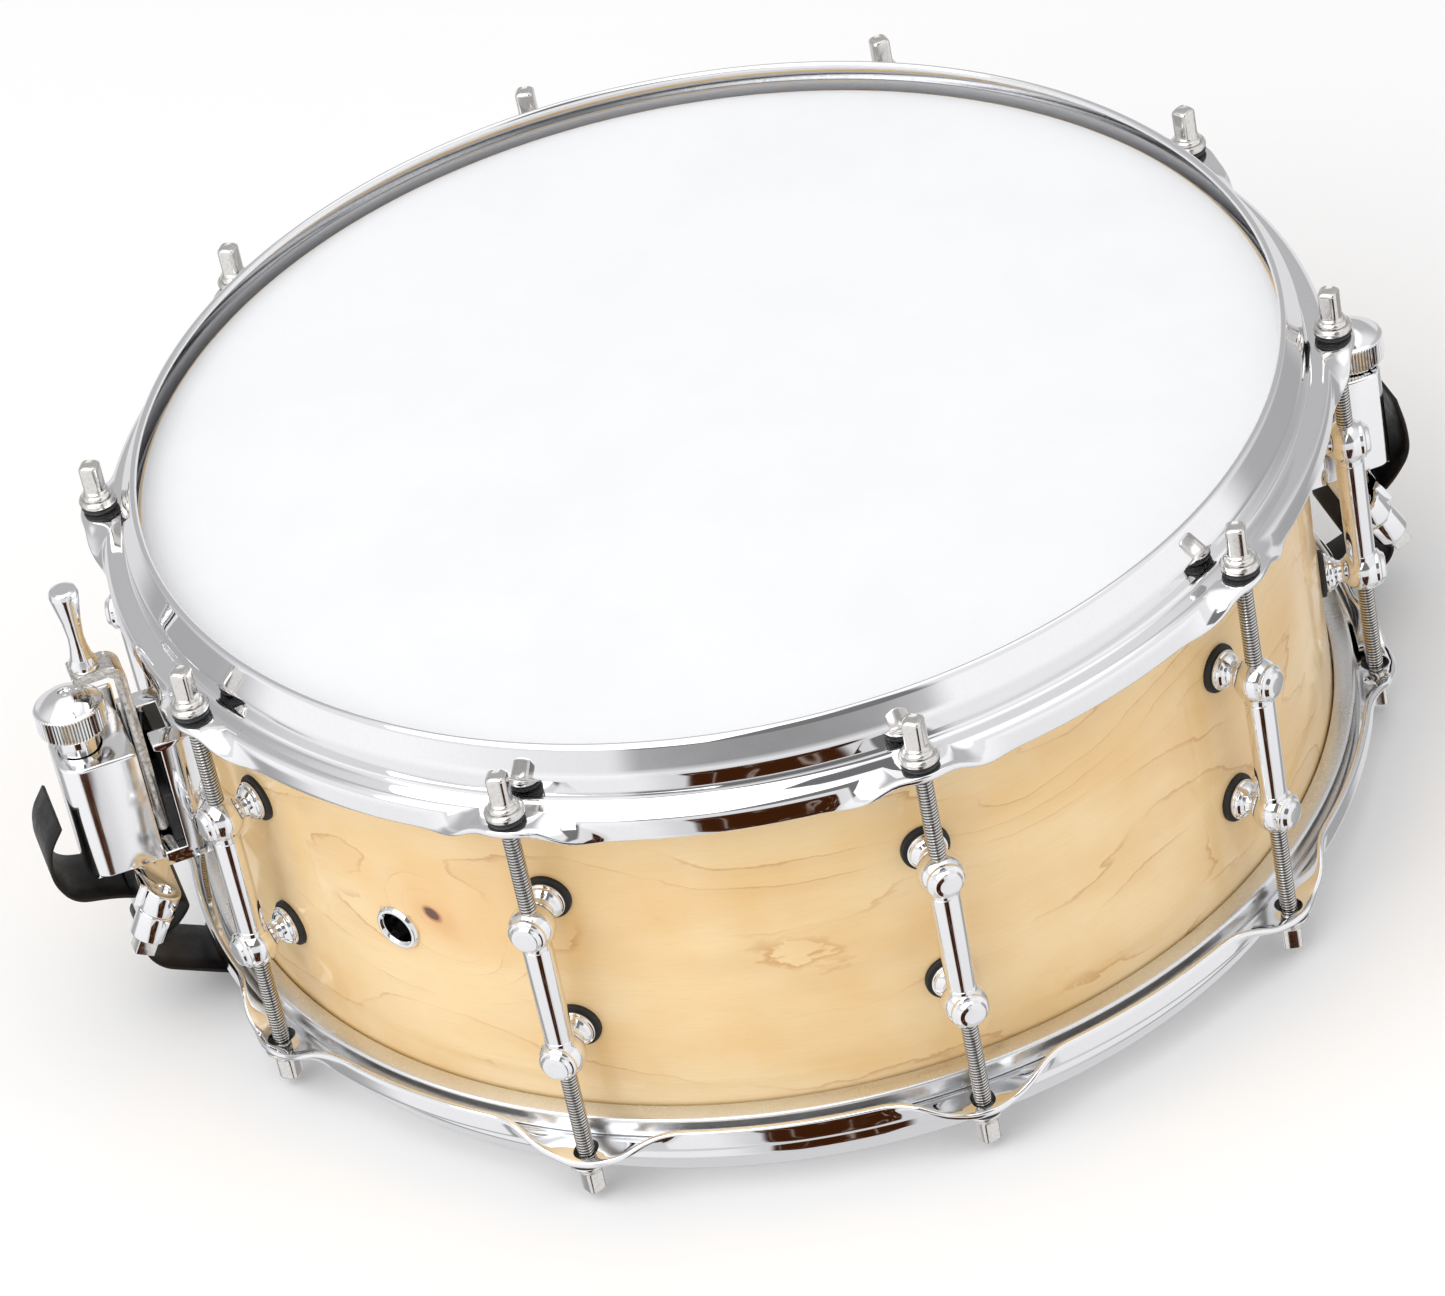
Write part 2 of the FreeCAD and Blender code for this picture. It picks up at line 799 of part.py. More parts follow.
def make_strainer_base():
    """The plate on the shell: a channel for the track, a bottom lip, a rolled top and a side wall."""
    body = new_body("strainer_base", turn=STRAINER_TURN)
    high = get("strainer_top")
    side = [
        (shell_in, strainer_low),
        (housing_back, strainer_low),
        (housing_back, strainer_low + 5),
        (strainer_face, strainer_low + 5),
        (strainer_face, high - 3),
        (strainer_face + 2, high - 2),
        (strainer_face + 2, high),
        (shell_in, high),
    ]
    pad(body, draw_outline(new_sketch(body, "XZ"), side), strainer_half * 2, both_ways=True)
    wall = new_sketch(body, "XY", lift=strainer_low)
    draw_rectangle(wall, shell_in, housing_back, -strainer_half, -strainer_half + 3.5)
    pad(body, wall, high - strainer_low)
    doc.recompute()
    channel = new_sketch(body, "XY", lift=strainer_low + 5)
    track_half = get("track_half_width")
    draw_rectangle(channel, strainer_face - 4, strainer_face + 5, -track_half, track_half)
    pocket(body, channel, high - strainer_low)
    curve = draw_rectangle(new_sketch(body, "XZ"), 0, shell_r, strainer_low - 1, high + 1)
    spin(body, curve, cut=True)
    fixing_holes(body)


def fixing_holes(body):
    """Blind holes for the screws that come through the shell."""
    holes = new_sketch(body, "YZ")
    for height in fixing_heights():
        draw_circle(holes, 0, height, screw_r)
    doc.recompute()
    pocket(body, holes, gasket_face + 5)


def make_track():
    """The black slide track in the base's channel, with the block that backs the lever."""
    body = new_body("strainer_track", turn=STRAINER_TURN)
    half = get("track_half_width")
    low = strainer_low + 5
    back = new_sketch(body, "XY", lift=low)
    draw_rectangle(back, strainer_face - 4, strainer_face, -half, half)
    pad(body, back, get("strainer_top") - low)
    block = new_sketch(body, "XY", lift=low)
    draw_rectangle(block, strainer_face, lever_x - gap, -half - 2, half + 4)
    pad(body, block, 18)


def make_housing():
    """The hollow strainer housing with a raised rear wall and a hole for the knob's stem."""
    body = new_body("strainer_housing", turn=STRAINER_TURN)
    corner = get("housing_corner")
    outline = [
        (housing_back, -housing_half),
        (housing_front - corner, -housing_half),
        (housing_front, -housing_half + corner, corner, 1),
        (housing_front, housing_half - corner),
        (housing_front - corner, housing_half, corner, 1),
        (housing_back, housing_half),
    ]
    low = strainer_low + 1
    roof = housing_wall * 2 + 1
    pad(body, draw_outline(new_sketch(body, "XY", lift=low), outline), housing_top - low)
    wall = new_sketch(body, "XY", lift=housing_top)
    draw_rectangle(wall, housing_back, housing_back + 9, -housing_half, -housing_half + 1.8)
    pad(body, wall, 10)
    doc.recompute()
    hollow = new_sketch(body, "XY", lift=low)
    inner = housing_half - housing_wall + 0.5
    draw_rectangle(hollow, housing_back + housing_wall, housing_front - housing_wall - 1, -inner + 1, inner - 1)
    pocket(body, hollow, housing_top - low - roof)
    stem_room = slide_top - get("slide_travel") - 1
    stem = new_sketch(body, "XY", lift=stem_room)
    draw_circle(stem, knob_x, 0, get("knob_stem_radius") + gap + 0.1)
    pocket(body, stem, housing_top - stem_room + 1)


def make_lever():
    """The throw lever: a flat bar with a hole for its pin and an outward foot for the grip."""
    body = new_body("strainer_lever", turn=STRAINER_TURN)
    top = pivot_z + get("lever_reach")
    bar = new_sketch(body, "YZ", lift=lever_x)
    draw_outline(bar, [
        (-lever_half, top),
        (-lever_half, pivot_z),
        (0, pivot_z - lever_half, lever_half, 1),
        (lever_half, pivot_z, lever_half, 1),
        (lever_half, top),
    ])
    pad(body, bar, lever_t)
    foot = new_sketch(body, "YZ", lift=lever_x + lever_t)
    draw_rectangle(foot, -lever_half, lever_half, top - lever_t, top)
    pad(body, foot, get("lever_foot"))
    doc.recompute()
    hole = draw_circle(new_sketch(body, "YZ"), 0, pivot_z, get("pivot_pin_radius") + run)
    pocket(body, hole, lever_x + lever_t + 1)


def make_lever_fittings():
    """The grip on the lever's foot, and the pin that the lever turns on."""
    foot_middle = lever_x + lever_t + get("lever_foot") - 5
    grip = new_body("strainer_lever_grip", turn=STRAINER_TURN, base=(foot_middle, pivot_z + get("lever_reach")))
    length = get("grip_length")
    wide = get("grip_radius")
    waist = get("grip_waist")
    profile = [
        (0, 0),
        (wide, 0),
        (wide, 2),
        (waist + 0.4, 6.5),
        (waist, 10),
        (wide - 0.5, length - 5),
        (wide, length - 3),
        (wide - 3, length, 3.2, 1),
        (0, length),
    ]
    spin(grip, draw_outline(new_sketch(grip, "XZ"), profile))
    pin = new_body("lever_pivot_pin", turn=STRAINER_TURN)
    radius = get("pivot_pin_radius")
    pad(pin, draw_circle(new_sketch(pin, "YZ", lift=lever_x - gap), 0, pivot_z, radius), housing_back - lever_x + gap)


def make_knob(name, turn, across, stem_low, knurl_low):
    """A tension knob: stem, knurled band and domed top."""
    body = new_body(name, turn=turn, base=(across, 0))
    radius = get("knob_radius")
    stem = get("knob_stem_radius")
    dome_low = knurl_low + get("knob_knurl_height")
    top = dome_low + get("knob_dome_height")
    crown = 3.2
    sphere = (radius * radius - crown * crown + get("knob_dome_height") * get("knob_dome_height"))
    profile = [
        (0, stem_low),
        (stem, stem_low),
        (stem, knurl_low),
        (radius, knurl_low),
        (radius, dome_low),
        (crown, top, sphere / get("knob_dome_height") / 1.25, 1),
        (0, top),
    ]
    spin(body, draw_outline(new_sketch(body, "XZ"), profile))


def make_carriage():
    """The slide inside the housing that the lever lowers."""
    body = new_body("strainer_carriage", turn=STRAINER_TURN)
    low = strainer_low + 5
    high = slide_top
    inner = housing_half - housing_wall - 1.5
    outline = new_sketch(body, "XY", lift=low)
    draw_rectangle(outline, housing_back + housing_wall + 1, housing_front - housing_wall - 2, -inner, inner)
    pad(body, outline, high - low)
    doc.recompute()
    hollow = new_sketch(body, "XY", lift=low)
    draw_rectangle(hollow, housing_back + 5.5, housing_front - 6, -inner + 1.8, inner - 1.8)
    pocket(body, hollow, high - low - 4)
    bore = draw_circle(new_sketch(body, "XY", lift=low), knob_x, 0, get("adjust_screw_radius") + run)
    pocket(body, bore, high - low + 1)


def make_strainer_screw():
    """The screw under the strainer's knob."""
    screw = rod("strainer_screw", get("adjust_screw_radius"), knob_x, slide_top - 22, slide_top + seat * 4)
    finish_object(screw, "strainer_adjust_screw")
    screw.setExpression("Placement.Base.x", (-knob_x).text)


# ---- strap clamps ------------------------------------------------------------------------------
def tilted(label, turn, centre, keep=True):
    """A body in the frame of a clamp: its Z runs along the clamp's screws."""
    return new_body(label, turn=turn, base=centre, tilt=CLAMP_TILT, keep=keep)


def jaw_outline(high):
    """The long face of a jaw, rounded at its two ends."""
    barrel = get("clamp_barrel_radius")
    offset = get("clamp_screw_offset")
    return [
        (high, -offset),
        (high, offset),
        (barrel, offset),
        (0, offset + barrel, barrel, 1),
        (-barrel, offset, barrel, 1),
        (-barrel, -offset),
        (0, -offset - barrel, barrel, 1),
        (barrel, -offset, barrel, 1),
    ]


def make_clamp(side, turn, centre, stem_box, bore_x):
    """Upper jaw with its stem, lower jaw with two barrels, and two square-head screws."""
    offset = get("clamp_screw_offset")
    barrel = get("clamp_barrel_radius")
    half = get("clamp_barrel_half")
    recess = get("strap_thickness") + gap * 2
    strap_half = get("strap_half_width") + 0.5
    upper_low = half + 0.1
    upper_high = half + recess + get("clamp_jaw")

    upper = tilted(side + "_clamp_plate", 0, centre, keep=False)
    pad(upper, draw_outline(new_sketch(upper, "XY", lift=upper_low), jaw_outline(barrel + 2)),
        upper_high - upper_low)
    doc.recompute()
    slot = new_sketch(upper, "XY", lift=upper_low)
    draw_rectangle(slot, -barrel - 1, barrel + 3, -strap_half, strap_half)
    pocket(upper, slot, recess)
    holes = new_sketch(upper, "XY", lift=upper_low)
    for place in (-offset, offset):
        draw_circle(holes, 0, place, get("clamp_screw_radius"))
    pocket(upper, holes, upper_high)
    stem, foot = stem_box
    blocks = [box(side + "_stem", *stem), box(side + "_foot", *foot)]
    joined = fuse(side + "_clamp_blank", [upper] + blocks)
    bore = rod(side + "_clamp_bore", get("adjust_screw_radius") + run, bore_x, stem[3] - 1, stem[4] + 1)
    finish_object(cut(side + "_clamp_cut", joined, bore), side + "_clamp", turn)

    lower = tilted(side + "_clamp_bar", turn, centre)
    bar = new_sketch(lower, "XY", lift=half - 4)
    draw_rectangle(bar, -barrel + 1, barrel - 1, -offset, offset)
    pad(lower, bar, 4)
    barrels = new_sketch(lower, "XY", lift=-half)
    for place in (-offset, offset):
        draw_circle(barrels, 0, place, barrel)
    pad(lower, barrels, half * 2)
    doc.recompute()
    holes = new_sketch(lower, "XY", lift=-half)
    for place in (-offset, offset):
        draw_circle(holes, 0, place, get("clamp_screw_radius"))
    pocket(lower, holes, half * 2 + 1)

    screws = tilted(side + "_clamp_screws", turn, centre)
    square = get("clamp_head_square") / 2
    for place in (-offset, offset):
        head = new_sketch(screws, "XY", lift=-half - get("clamp_head_length"))
        draw_rectangle(head, -square, square, place - square, place + square)
        pad(screws, head, get("clamp_head_length"))
        shaft = draw_circle(new_sketch(screws, "XY", lift=-half), 0, place, get("clamp_screw_radius"))
        pad(screws, shaft, half + upper_high - 1.5)


def sideways(direction, distance):
    """A step to the left of a direction in the XZ plane."""
    return FreeCAD.Vector(-direction.z, 0, direction.x).normalize() * distance


def strap_face_edges(path, offset):
    """Straight runs and tangent arcs along a path, moved to one side by offset."""
    edges = []
    start = path[0] + sideways(path[1] - path[0], offset)
    for before, corner, after in zip(path, path[1:], path[2:]):
        back = (before - corner).normalize()
        ahead = (after - corner).normalize()
        reach = 0.45 * min((before - corner).Length, (after - corner).Length)
        half_angle = back.getAngle(ahead) / 2
        centre = corner + (back + ahead).normalize() * (reach / math.cos(half_angle))
        first = corner + back * reach
        last = corner + ahead * reach
        middle_point = centre + (corner - centre).normalize() * (reach * math.tan(half_angle))
        first_side = first + sideways(-back, offset)
        middle_side = middle_point + sideways(last - first, offset)
        last_side = last + sideways(ahead, offset)
        edges.append(Part.LineSegment(start, first_side).toShape())
        edges.append(Part.Arc(first_side, middle_side, last_side).toShape())
        start = last_side
    end = path[-1] + sideways(path[-1] - path[-2], offset)
    edges.append(Part.LineSegment(start, end).toShape())
    return edges


def make_strap(side, turn, centre, bulge, tail):
    """A flat strap: from the end plate through the gate, a slack bulge, the jaws and a free tail."""
    tilt = math.radians(CLAMP_TILT)
    seam = get("clamp_barrel_half") + gap + get("strap_thickness") / 2
    seam_x = centre[0].value - seam.value * math.sin(tilt)
    seam_z = centre[1].value + seam.value * math.cos(tilt)
    wire_z = shell_low - film - get("snare_head_gap") - get("strand_radius")
    plate_end = strand_half + get("end_plate_length") + gap
    points = [(plate_end.value, wire_z.value), (shell_r.value + 6.5, wire_z.value + 0.6)]
    points += [(seam_x + across, seam_z + up) for across, up in bulge]
    for along in (-12.3, 9.0):
        points.append((seam_x + along * math.cos(tilt), seam_z + along * math.sin(tilt)))
    points += [(seam_x + across, seam_z + up) for across, up in tail]
    path = [FreeCAD.Vector(across, 0, height) for across, height in points]
    half = get("strap_thickness").value / 2
    left = strap_face_edges(path, half)
    right = strap_face_edges(path, -half)
    ends = [
        Part.LineSegment(chain_left, chain_right).toShape()
        for chain_left, chain_right in (
            (left[0].Vertexes[0].Point, right[0].Vertexes[0].Point),
            (left[-1].Vertexes[-1].Point, right[-1].Vertexes[-1].Point),
        )
    ]
    outline = Part.Wire(Part.__sortEdges__(left + right + ends))
    face = Part.Face(outline)
    half_width = get("strap_half_width").value
    face.translate(FreeCAD.Vector(0, -half_width, 0))
    strap = doc.addObject("Part::Feature", side + "_strap")
    strap.Shape = face.extrude(FreeCAD.Vector(0, 2 * half_width, 0))
    finish_object(strap, side + "_strap", turn)


# ---- butt end ----------------------------------------------------------------------------------
butt_low = get("butt_bottom")
butt_face = shell_r + get("butt_base_depth")
butt_front = butt_face + get("butt_housing_depth")
butt_knob_x = butt_front - 6.5
butt_top = get("butt_top")


def make_butt_base():
    """The block between the butt housing and the shell."""
    body = new_body("butt_base")
    block = new_sketch(body, "XY", lift=butt_low)
    draw_rectangle(block, shell_in, butt_face, -housing_half, housing_half)
    pad(body, block, butt_top - butt_low - 2)
    doc.recompute()
    spin(body, draw_rectangle(new_sketch(body, "XZ"), 0, shell_r, butt_low - 1, butt_top), cut=True)
    fixing_holes(body)


def make_butt_housing():
    """The hollow butt housing with the bore of its knob's screw."""
    body = new_body("butt_housing")
    corner = get("butt_corner")
    outline = [
        (butt_face, -housing_half),
        (butt_front - corner, -housing_half),
        (butt_front, -housing_half + corner, corner, 1),
        (butt_front, housing_half - corner),
        (butt_front - corner, housing_half, corner, 1),
        (butt_face, housing_half),
    ]
    pad(body, draw_outline(new_sketch(body, "XY", lift=butt_low), outline), butt_top - butt_low)
    doc.recompute()
    hollow = new_sketch(body, "XY", lift=butt_low)
    inner = housing_half - housing_wall - 0.5
    draw_rectangle(hollow, butt_face + housing_wall, butt_front - housing_wall, -inner, inner)
    pocket(body, hollow, butt_top - butt_low - 5.5)
    bore = new_sketch(body, "XY", lift=butt_top - 7)
    draw_circle(bore, butt_knob_x, 0, get("adjust_screw_radius") + run)
    pocket(body, bore, 8)


def make_butt_screw():
    """The screw under the butt's knob."""
    screw = rod("butt_screw", get("adjust_screw_radius"), butt_knob_x, butt_top - 25.5, butt_top + gap)
    finish_object(screw, "butt_adjust_screw")
    screw.setExpression("Placement.Base.x", butt_knob_x.text)


# ---- making it all -----------------------------------------------------------------------------
def make_fittings():
    """The strainer, the butt end and their clamps and straps."""
    make_strainer_base()
    make_track()
    make_housing()
    make_lever()
    make_lever_fittings()
    make_carriage()
    make_knob("strainer_knob", STRAINER_TURN, knob_x, slide_top + seat * 4, housing_top + get("knob_stem_rise"))
    make_strainer_screw()
    centre = (knob_x - 5, get("clamp_height_strainer"))
    stem_half = housing_half - housing_wall - 3.6
    stem_back = housing_back + 7.8
    stem = (stem_back, housing_front - 6 - gap, stem_half, centre[1] + 16, centre[1] + 40)
    foot = (stem_back - 1.3, stem_back + 2.7, stem_half, centre[1] + 10.5, centre[1] + 17)
    make_clamp("strainer", STRAINER_TURN, centre, (stem, foot), knob_x)
    tail = [(23.5, 8.0), (28.0, 18.0), (26.5, 29.0), (21.3, 36.2)]
    bulge = [(3.3, -26.9), (7.3, -18.9), (-1.2, -14.9), (-6.2, -11.4)]
    make_strap("strainer", STRAINER_TURN, centre, bulge, tail)
    make_butt_base()
    make_butt_housing()
    make_knob("butt_knob", BUTT_TURN, butt_knob_x, butt_top + gap, butt_top + gap + seat)
    make_butt_screw()
    centre = (butt_knob_x - 1.5, get("clamp_height_butt"))
    stem = (butt_knob_x - 6.5, butt_front - housing_wall - gap, stem_half, centre[1] + 14, centre[1] + 40)
    foot = (butt_knob_x - 5, butt_knob_x - 1, stem_half, centre[1] + 10.5, centre[1] + 15)
    make_clamp("butt", BUTT_TURN, centre, (stem, foot), butt_knob_x)
    tail = [(15.8, 14.5), (15.6, 25.0), (13.3, 36.0)]
    bulge = [(4.0, -25.0), (7.3, -18.9), (-1.2, -14.9), (-6.2, -11.4)]
    make_strap("butt", BUTT_TURN, centre, bulge, tail)


make_shell()
make_vent()
make_head("batter_head", shell_high, 1)
make_head("snare_head", shell_low, -1)
make_hoop("batter_hoop", lambda drop: overall - drop, gates=False)
make_hoop("snare_hoop", lambda drop: as_size(drop), gates=True)
make_lug_posts()
make_lug_tubes()
make_round_set("lug_gaskets", screw_r, get("gasket_radius"), shell_r, gasket_face)
make_lug_screws()
make_round_set("lug_screw_washers", screw_r, get("washer_radius"),
               washer_face() - get("washer_thickness"), washer_face())
make_fixing_screws()
ear_top = overall - shoulder
make_rod_washers("rod_nylon_washers", get("nylon_radius"), ear_top, ear_top + get("batter_nylon"),
                 shoulder - get("snare_nylon"), shoulder)
make_rod_washers("rod_steel_washers", get("steel_radius"),
                 ear_top + get("batter_nylon"), ear_top + get("batter_nylon") + get("batter_steel"),
                 shoulder - get("snare_nylon") - get("snare_steel"), shoulder - get("snare_nylon"))
make_rods()
make_snares()
make_fittings()
doc.recompute()

for thing in doc.Objects:
    if "Invalid" in thing.State or "Error" in thing.State:
        raise ValueError(f"{thing.Label} did not build: {thing.State}")
for node in nodes:
    if node.Shape.isNull() or not node.Shape.isValid() or not node.Shape.Solids:
        raise ValueError(f"{node.Label} is not a valid solid")
os.makedirs("parts", exist_ok=True)
for node in nodes:
    node.Shape.exportStep(f"parts/{node.Label}.step")
    print(node.Label, len(node.Shape.Solids), round(node.Shape.Volume, 1))
print(len(nodes), "nodes")
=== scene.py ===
import json
import math
import bmesh
import bpy
from mathutils import Matrix, Vector


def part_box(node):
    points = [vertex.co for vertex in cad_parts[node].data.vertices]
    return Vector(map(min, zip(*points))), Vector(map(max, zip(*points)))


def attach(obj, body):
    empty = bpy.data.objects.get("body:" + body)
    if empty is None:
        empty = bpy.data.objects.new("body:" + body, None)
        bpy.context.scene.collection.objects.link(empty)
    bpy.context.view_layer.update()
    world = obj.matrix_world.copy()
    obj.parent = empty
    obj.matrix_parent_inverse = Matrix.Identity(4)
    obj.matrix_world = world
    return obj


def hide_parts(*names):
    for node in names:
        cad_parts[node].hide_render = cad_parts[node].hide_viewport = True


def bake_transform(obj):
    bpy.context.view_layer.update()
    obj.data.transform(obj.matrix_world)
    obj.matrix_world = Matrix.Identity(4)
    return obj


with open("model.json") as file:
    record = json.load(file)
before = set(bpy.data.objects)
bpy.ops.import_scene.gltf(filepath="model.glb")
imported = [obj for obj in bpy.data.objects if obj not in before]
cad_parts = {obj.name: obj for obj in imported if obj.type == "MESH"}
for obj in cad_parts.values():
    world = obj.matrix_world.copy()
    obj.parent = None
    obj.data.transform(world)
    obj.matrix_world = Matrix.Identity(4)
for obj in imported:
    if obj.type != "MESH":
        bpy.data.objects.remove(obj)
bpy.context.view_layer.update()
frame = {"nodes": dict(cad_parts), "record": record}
nodes = frame["nodes"]
scene = bpy.context.scene

# Lengths are in millimetres until piece() scales a mesh to metres, and angles are in degrees.
# Z is the drum's axis; the strainer is on the -X side and the butt end on the +X side.
MM = 0.001
OVERALL = 161.7                     # over both hoops
SHELL_R, SHELL_INNER_R = 177.5, 170.3
SHELL_LOW, SHELL_HIGH = 11.0, 150.7
FILM_R = 178.1                      # outside of a drumhead's collar
HOOP_WALL_R = 182.3                 # outside of a hoop's upright wall
HOOP_THICK = 2.3
EAR_TOP = 16.5                      # from a hoop's edge down to the upper face of an ear
EAR_MIDDLE = 17.65                  # from a hoop's edge to the middle of an ear's thickness
ROD_R = 191.0                       # circle of the tension rods
ROD_THREAD = (2.7, 0.42, 1.058)     # radius, depth and pitch
BALLS = (56.35, 105.35)             # heights of a lug's two posts
LUG_ANGLES = [18 + 36 * k for k in range(10)]
VENT = (216, 80.85)                 # angle and height
STRAINER_KNOB_X, BUTT_KNOB_X = 212, 206.5
STRAP_HALF_WIDTH = 12.5
CAMERA_AZIMUTH, CAMERA_ELEVATION, CAMERA_ROLL = -11.178, 36.552, -11.809
DEGREES = 57.2958                   # in a radian


# ---- camera, floor and light -------------------------------------------------------------------
def make_camera():
    """A long lens, tipped over to the side, that looks down on the batter head."""
    az, el, roll = (math.radians(v) for v in (CAMERA_AZIMUTH, CAMERA_ELEVATION, CAMERA_ROLL))
    back = Vector((math.sin(az) * math.cos(el), -math.cos(az) * math.cos(el), math.sin(el)))
    right = Vector((math.cos(az), math.sin(az), 0))
    up = back.cross(right)
    across = math.cos(roll) * right + math.sin(roll) * up
    along = -math.sin(roll) * right + math.cos(roll) * up
    distance, to_right, down = 1803.71, 6.34, 82.17
    spot = Vector((0, 0, OVERALL)) + back * distance + across * to_right - along * down
    camera = bpy.data.objects.new("camera", bpy.data.cameras.new("camera"))
    scene.collection.objects.link(camera)
    turn = Matrix((across, along, back)).transposed().to_4x4()
    camera.matrix_world = Matrix.Translation(spot * MM) @ turn
    camera.data.sensor_width = 36
    camera.data.lens = 147.906
    camera.data.clip_start = 0.02
    camera.data.clip_end = 60
    scene.camera = camera


class Graph:
    """Short names for building a node tree."""

    def __init__(self, tree):
        self.tree = tree

    def add(self, kind, *sources, **settings):
        node = self.tree.nodes.new("ShaderNode" + kind)
        for key, value in settings.items():
            setattr(node, key, value)
        for place, source in enumerate(sources):
            self.feed(node.inputs[place], source)
        return node

    def feed(self, socket, source):
        if source is None:
            return
        if isinstance(source, bpy.types.NodeSocket):
            self.tree.links.new(source, socket)
        else:
            socket.default_value = source

    def math(self, operation, *sources):
        return self.add("Math", *sources, operation=operation).outputs[0]

    def plus(self, first, second):
        return self.math("ADD", first, second)

    def minus(self, first, second):
        return self.math("SUBTRACT", first, second)

    def times(self, first, second):
        return self.math("MULTIPLY", first, second)

    def over(self, first, second):
        return self.math("DIVIDE", first, second)

    def size(self, value):
        return self.math("ABSOLUTE", value)

    def scaled(self, value, low, high, to_low=0.0, to_high=1.0):
        """Maps low..high to to_low..to_high with soft ends."""
        return self.add("MapRange", value, low, high, to_low, to_high, interpolation_type="SMOOTHSTEP").outputs[0]

    def xyz(self, x, y, z):
        return self.add("CombineXYZ", x, y, z).outputs[0]

    def split(self, vector):
        return self.add("SeparateXYZ", vector).outputs[:3]

    def noise(self, vector, scale, detail=2.0, roughness=0.5, distortion=0.0):
        node = self.add("TexNoise")
        for name, value in (("Vector", vector), ("Scale", scale), ("Detail", detail),
                            ("Roughness", roughness), ("Distortion", distortion)):
            self.feed(node.inputs[name], value)
        return node.outputs["Fac"]

    def mix(self, share, first, second, blend="MIX"):
        node = self.add("Mix", data_type="RGBA", blend_type=blend)
        for place, source in ((0, share), (6, first), (7, second)):
            self.feed(node.inputs[place], source)
        return node.outputs[2]


def band(g, value, low, high, soft):
    """1 where value lies between low and high, with soft ends."""
    return g.times(g.scaled(value, low - soft, low), g.scaled(value, high, high + soft, 1.0, 0.0))


def make_world():
    """A white studio. Bright: two softboxes and the ceiling. Darker: the far sides, high behind the drum, and the
    patch round the lens that the batter side's chrome mirrors. Brown: a gap between the two boxes."""
    world = bpy.data.worlds.new("studio")
    scene.world = world
    world.use_nodes = True
    g = Graph(world.node_tree)
    x, y, z = g.split(g.add("TexCoord").outputs["Generated"])
    turn = g.math("ARCTAN2", x, g.times(y, -1.0))
    turn = g.minus(g.times(turn, DEGREES), CAMERA_AZIMUTH)
    rise = g.times(g.math("ARCSINE", z), DEGREES)
    around = g.size(turn)

    def patch(value, start, end, soft, low, high, soft_rise):
        """1 inside a range of turn (or of its size) and a range of rise."""
        return g.times(band(g, value, start, end, soft), band(g, rise, low, high, soft_rise))

    level = g.scaled(rise, -75.0, 70.0, 0.70, 0.96)
    for box, gain in ((patch(turn, -100.0, -28.0, 9.0, -58.0, 12.0, 9.0), 0.22),
                      (patch(turn, 26.0, 92.0, 10.0, -54.0, 20.0, 9.0), 0.18),
                      (band(g, rise, 60.0, 86.0, 8.0), 0.25)):
        level = g.plus(level, g.times(box, gain))
    side = patch(around, 104.0, 128.0, 12.0, -64.0, 0.0, 12.0)
    rear = g.times(g.scaled(around, 88.0, 132.0), band(g, rise, 16.0, 50.0, 13.0))
    lens = patch(turn, -24.0, 26.0, 7.0, 24.0, 62.0, 9.0)
    for shadow, loss in ((side, 0.45), (rear, 0.42), (lens, 0.78)):
        level = g.times(level, g.minus(1.0, g.times(shadow, loss)))

    wisp = g.noise(g.xyz(g.times(turn, 0.09), g.times(rise, 0.05), 0.0), 1.0, 1.0, 0.4, 1.2)
    glint = g.scaled(g.size(g.minus(wisp, 0.52)), 0.0, 0.02, 1.0, 0.0)
    edge = g.times(g.noise(g.xyz(g.times(rise, 0.06), 3.0, 0.0), 1.0), 12.0)
    gap_to = g.plus(g.times(rise, 0.10), g.plus(edge, 8.0))
    gap = g.times(g.scaled(turn, -18.5, -17.0), g.scaled(g.minus(turn, gap_to), 0.0, 3.0, 1.0, 0.0))
    gap = g.times(gap, band(g, rise, -66.0, -14.0, 5.0))
    brown = g.mix(g.times(glint, 0.5), (0.050, 0.014, 0.004, 1), (0.55, 0.45, 0.38, 1))
    white = g.mix(1.0, (1.0, 1.0, 1.01, 1), g.xyz(level, level, level), "MULTIPLY")
    back = world.node_tree.nodes["Background"]
    g.feed(back.inputs["Color"], g.mix(gap, white, brown))
    back.inputs["Strength"].default_value = 1.0


def make_stage():
    """A pale floor and one large soft lamp from the left."""
    mesh = bpy.data.meshes.new("floor")
    reach = 14.0
    corners = [(-reach, -reach, 0), (reach, -reach, 0), (reach, reach, 0), (-reach, reach, 0)]
    mesh.from_pydata(corners, [], [(0, 1, 2, 3)])
    floor = bpy.data.objects.new("floor", mesh)
    scene.collection.objects.link(floor)
    paper = bpy.data.materials.new("paper")
    paper.use_nodes = True
    skin = paper.node_tree.nodes["Principled BSDF"]
    skin.inputs["Base Color"].default_value = (0.96, 0.96, 0.96, 1)
    skin.inputs["Roughness"].default_value = 0.9
    skin.inputs["Specular IOR Level"].default_value = 0.1
    mesh.materials.append(paper)
    floor.visible_glossy = False
    lamp = bpy.data.lights.new("soft_left", "AREA")
    lamp.shape, lamp.size, lamp.size_y, lamp.energy = "RECTANGLE", 2.6, 2.0, 26.0
    light = bpy.data.objects.new("soft_left", lamp)
    scene.collection.objects.link(light)
    light.location = (-1.2, -0.9, 2.0)
    light.rotation_euler = (Vector((0, 0, 0.08)) - light.location).to_track_quat("-Z", "Y").to_euler()


scene.view_settings.view_transform = "Standard"
make_camera()
make_world()
make_stage()


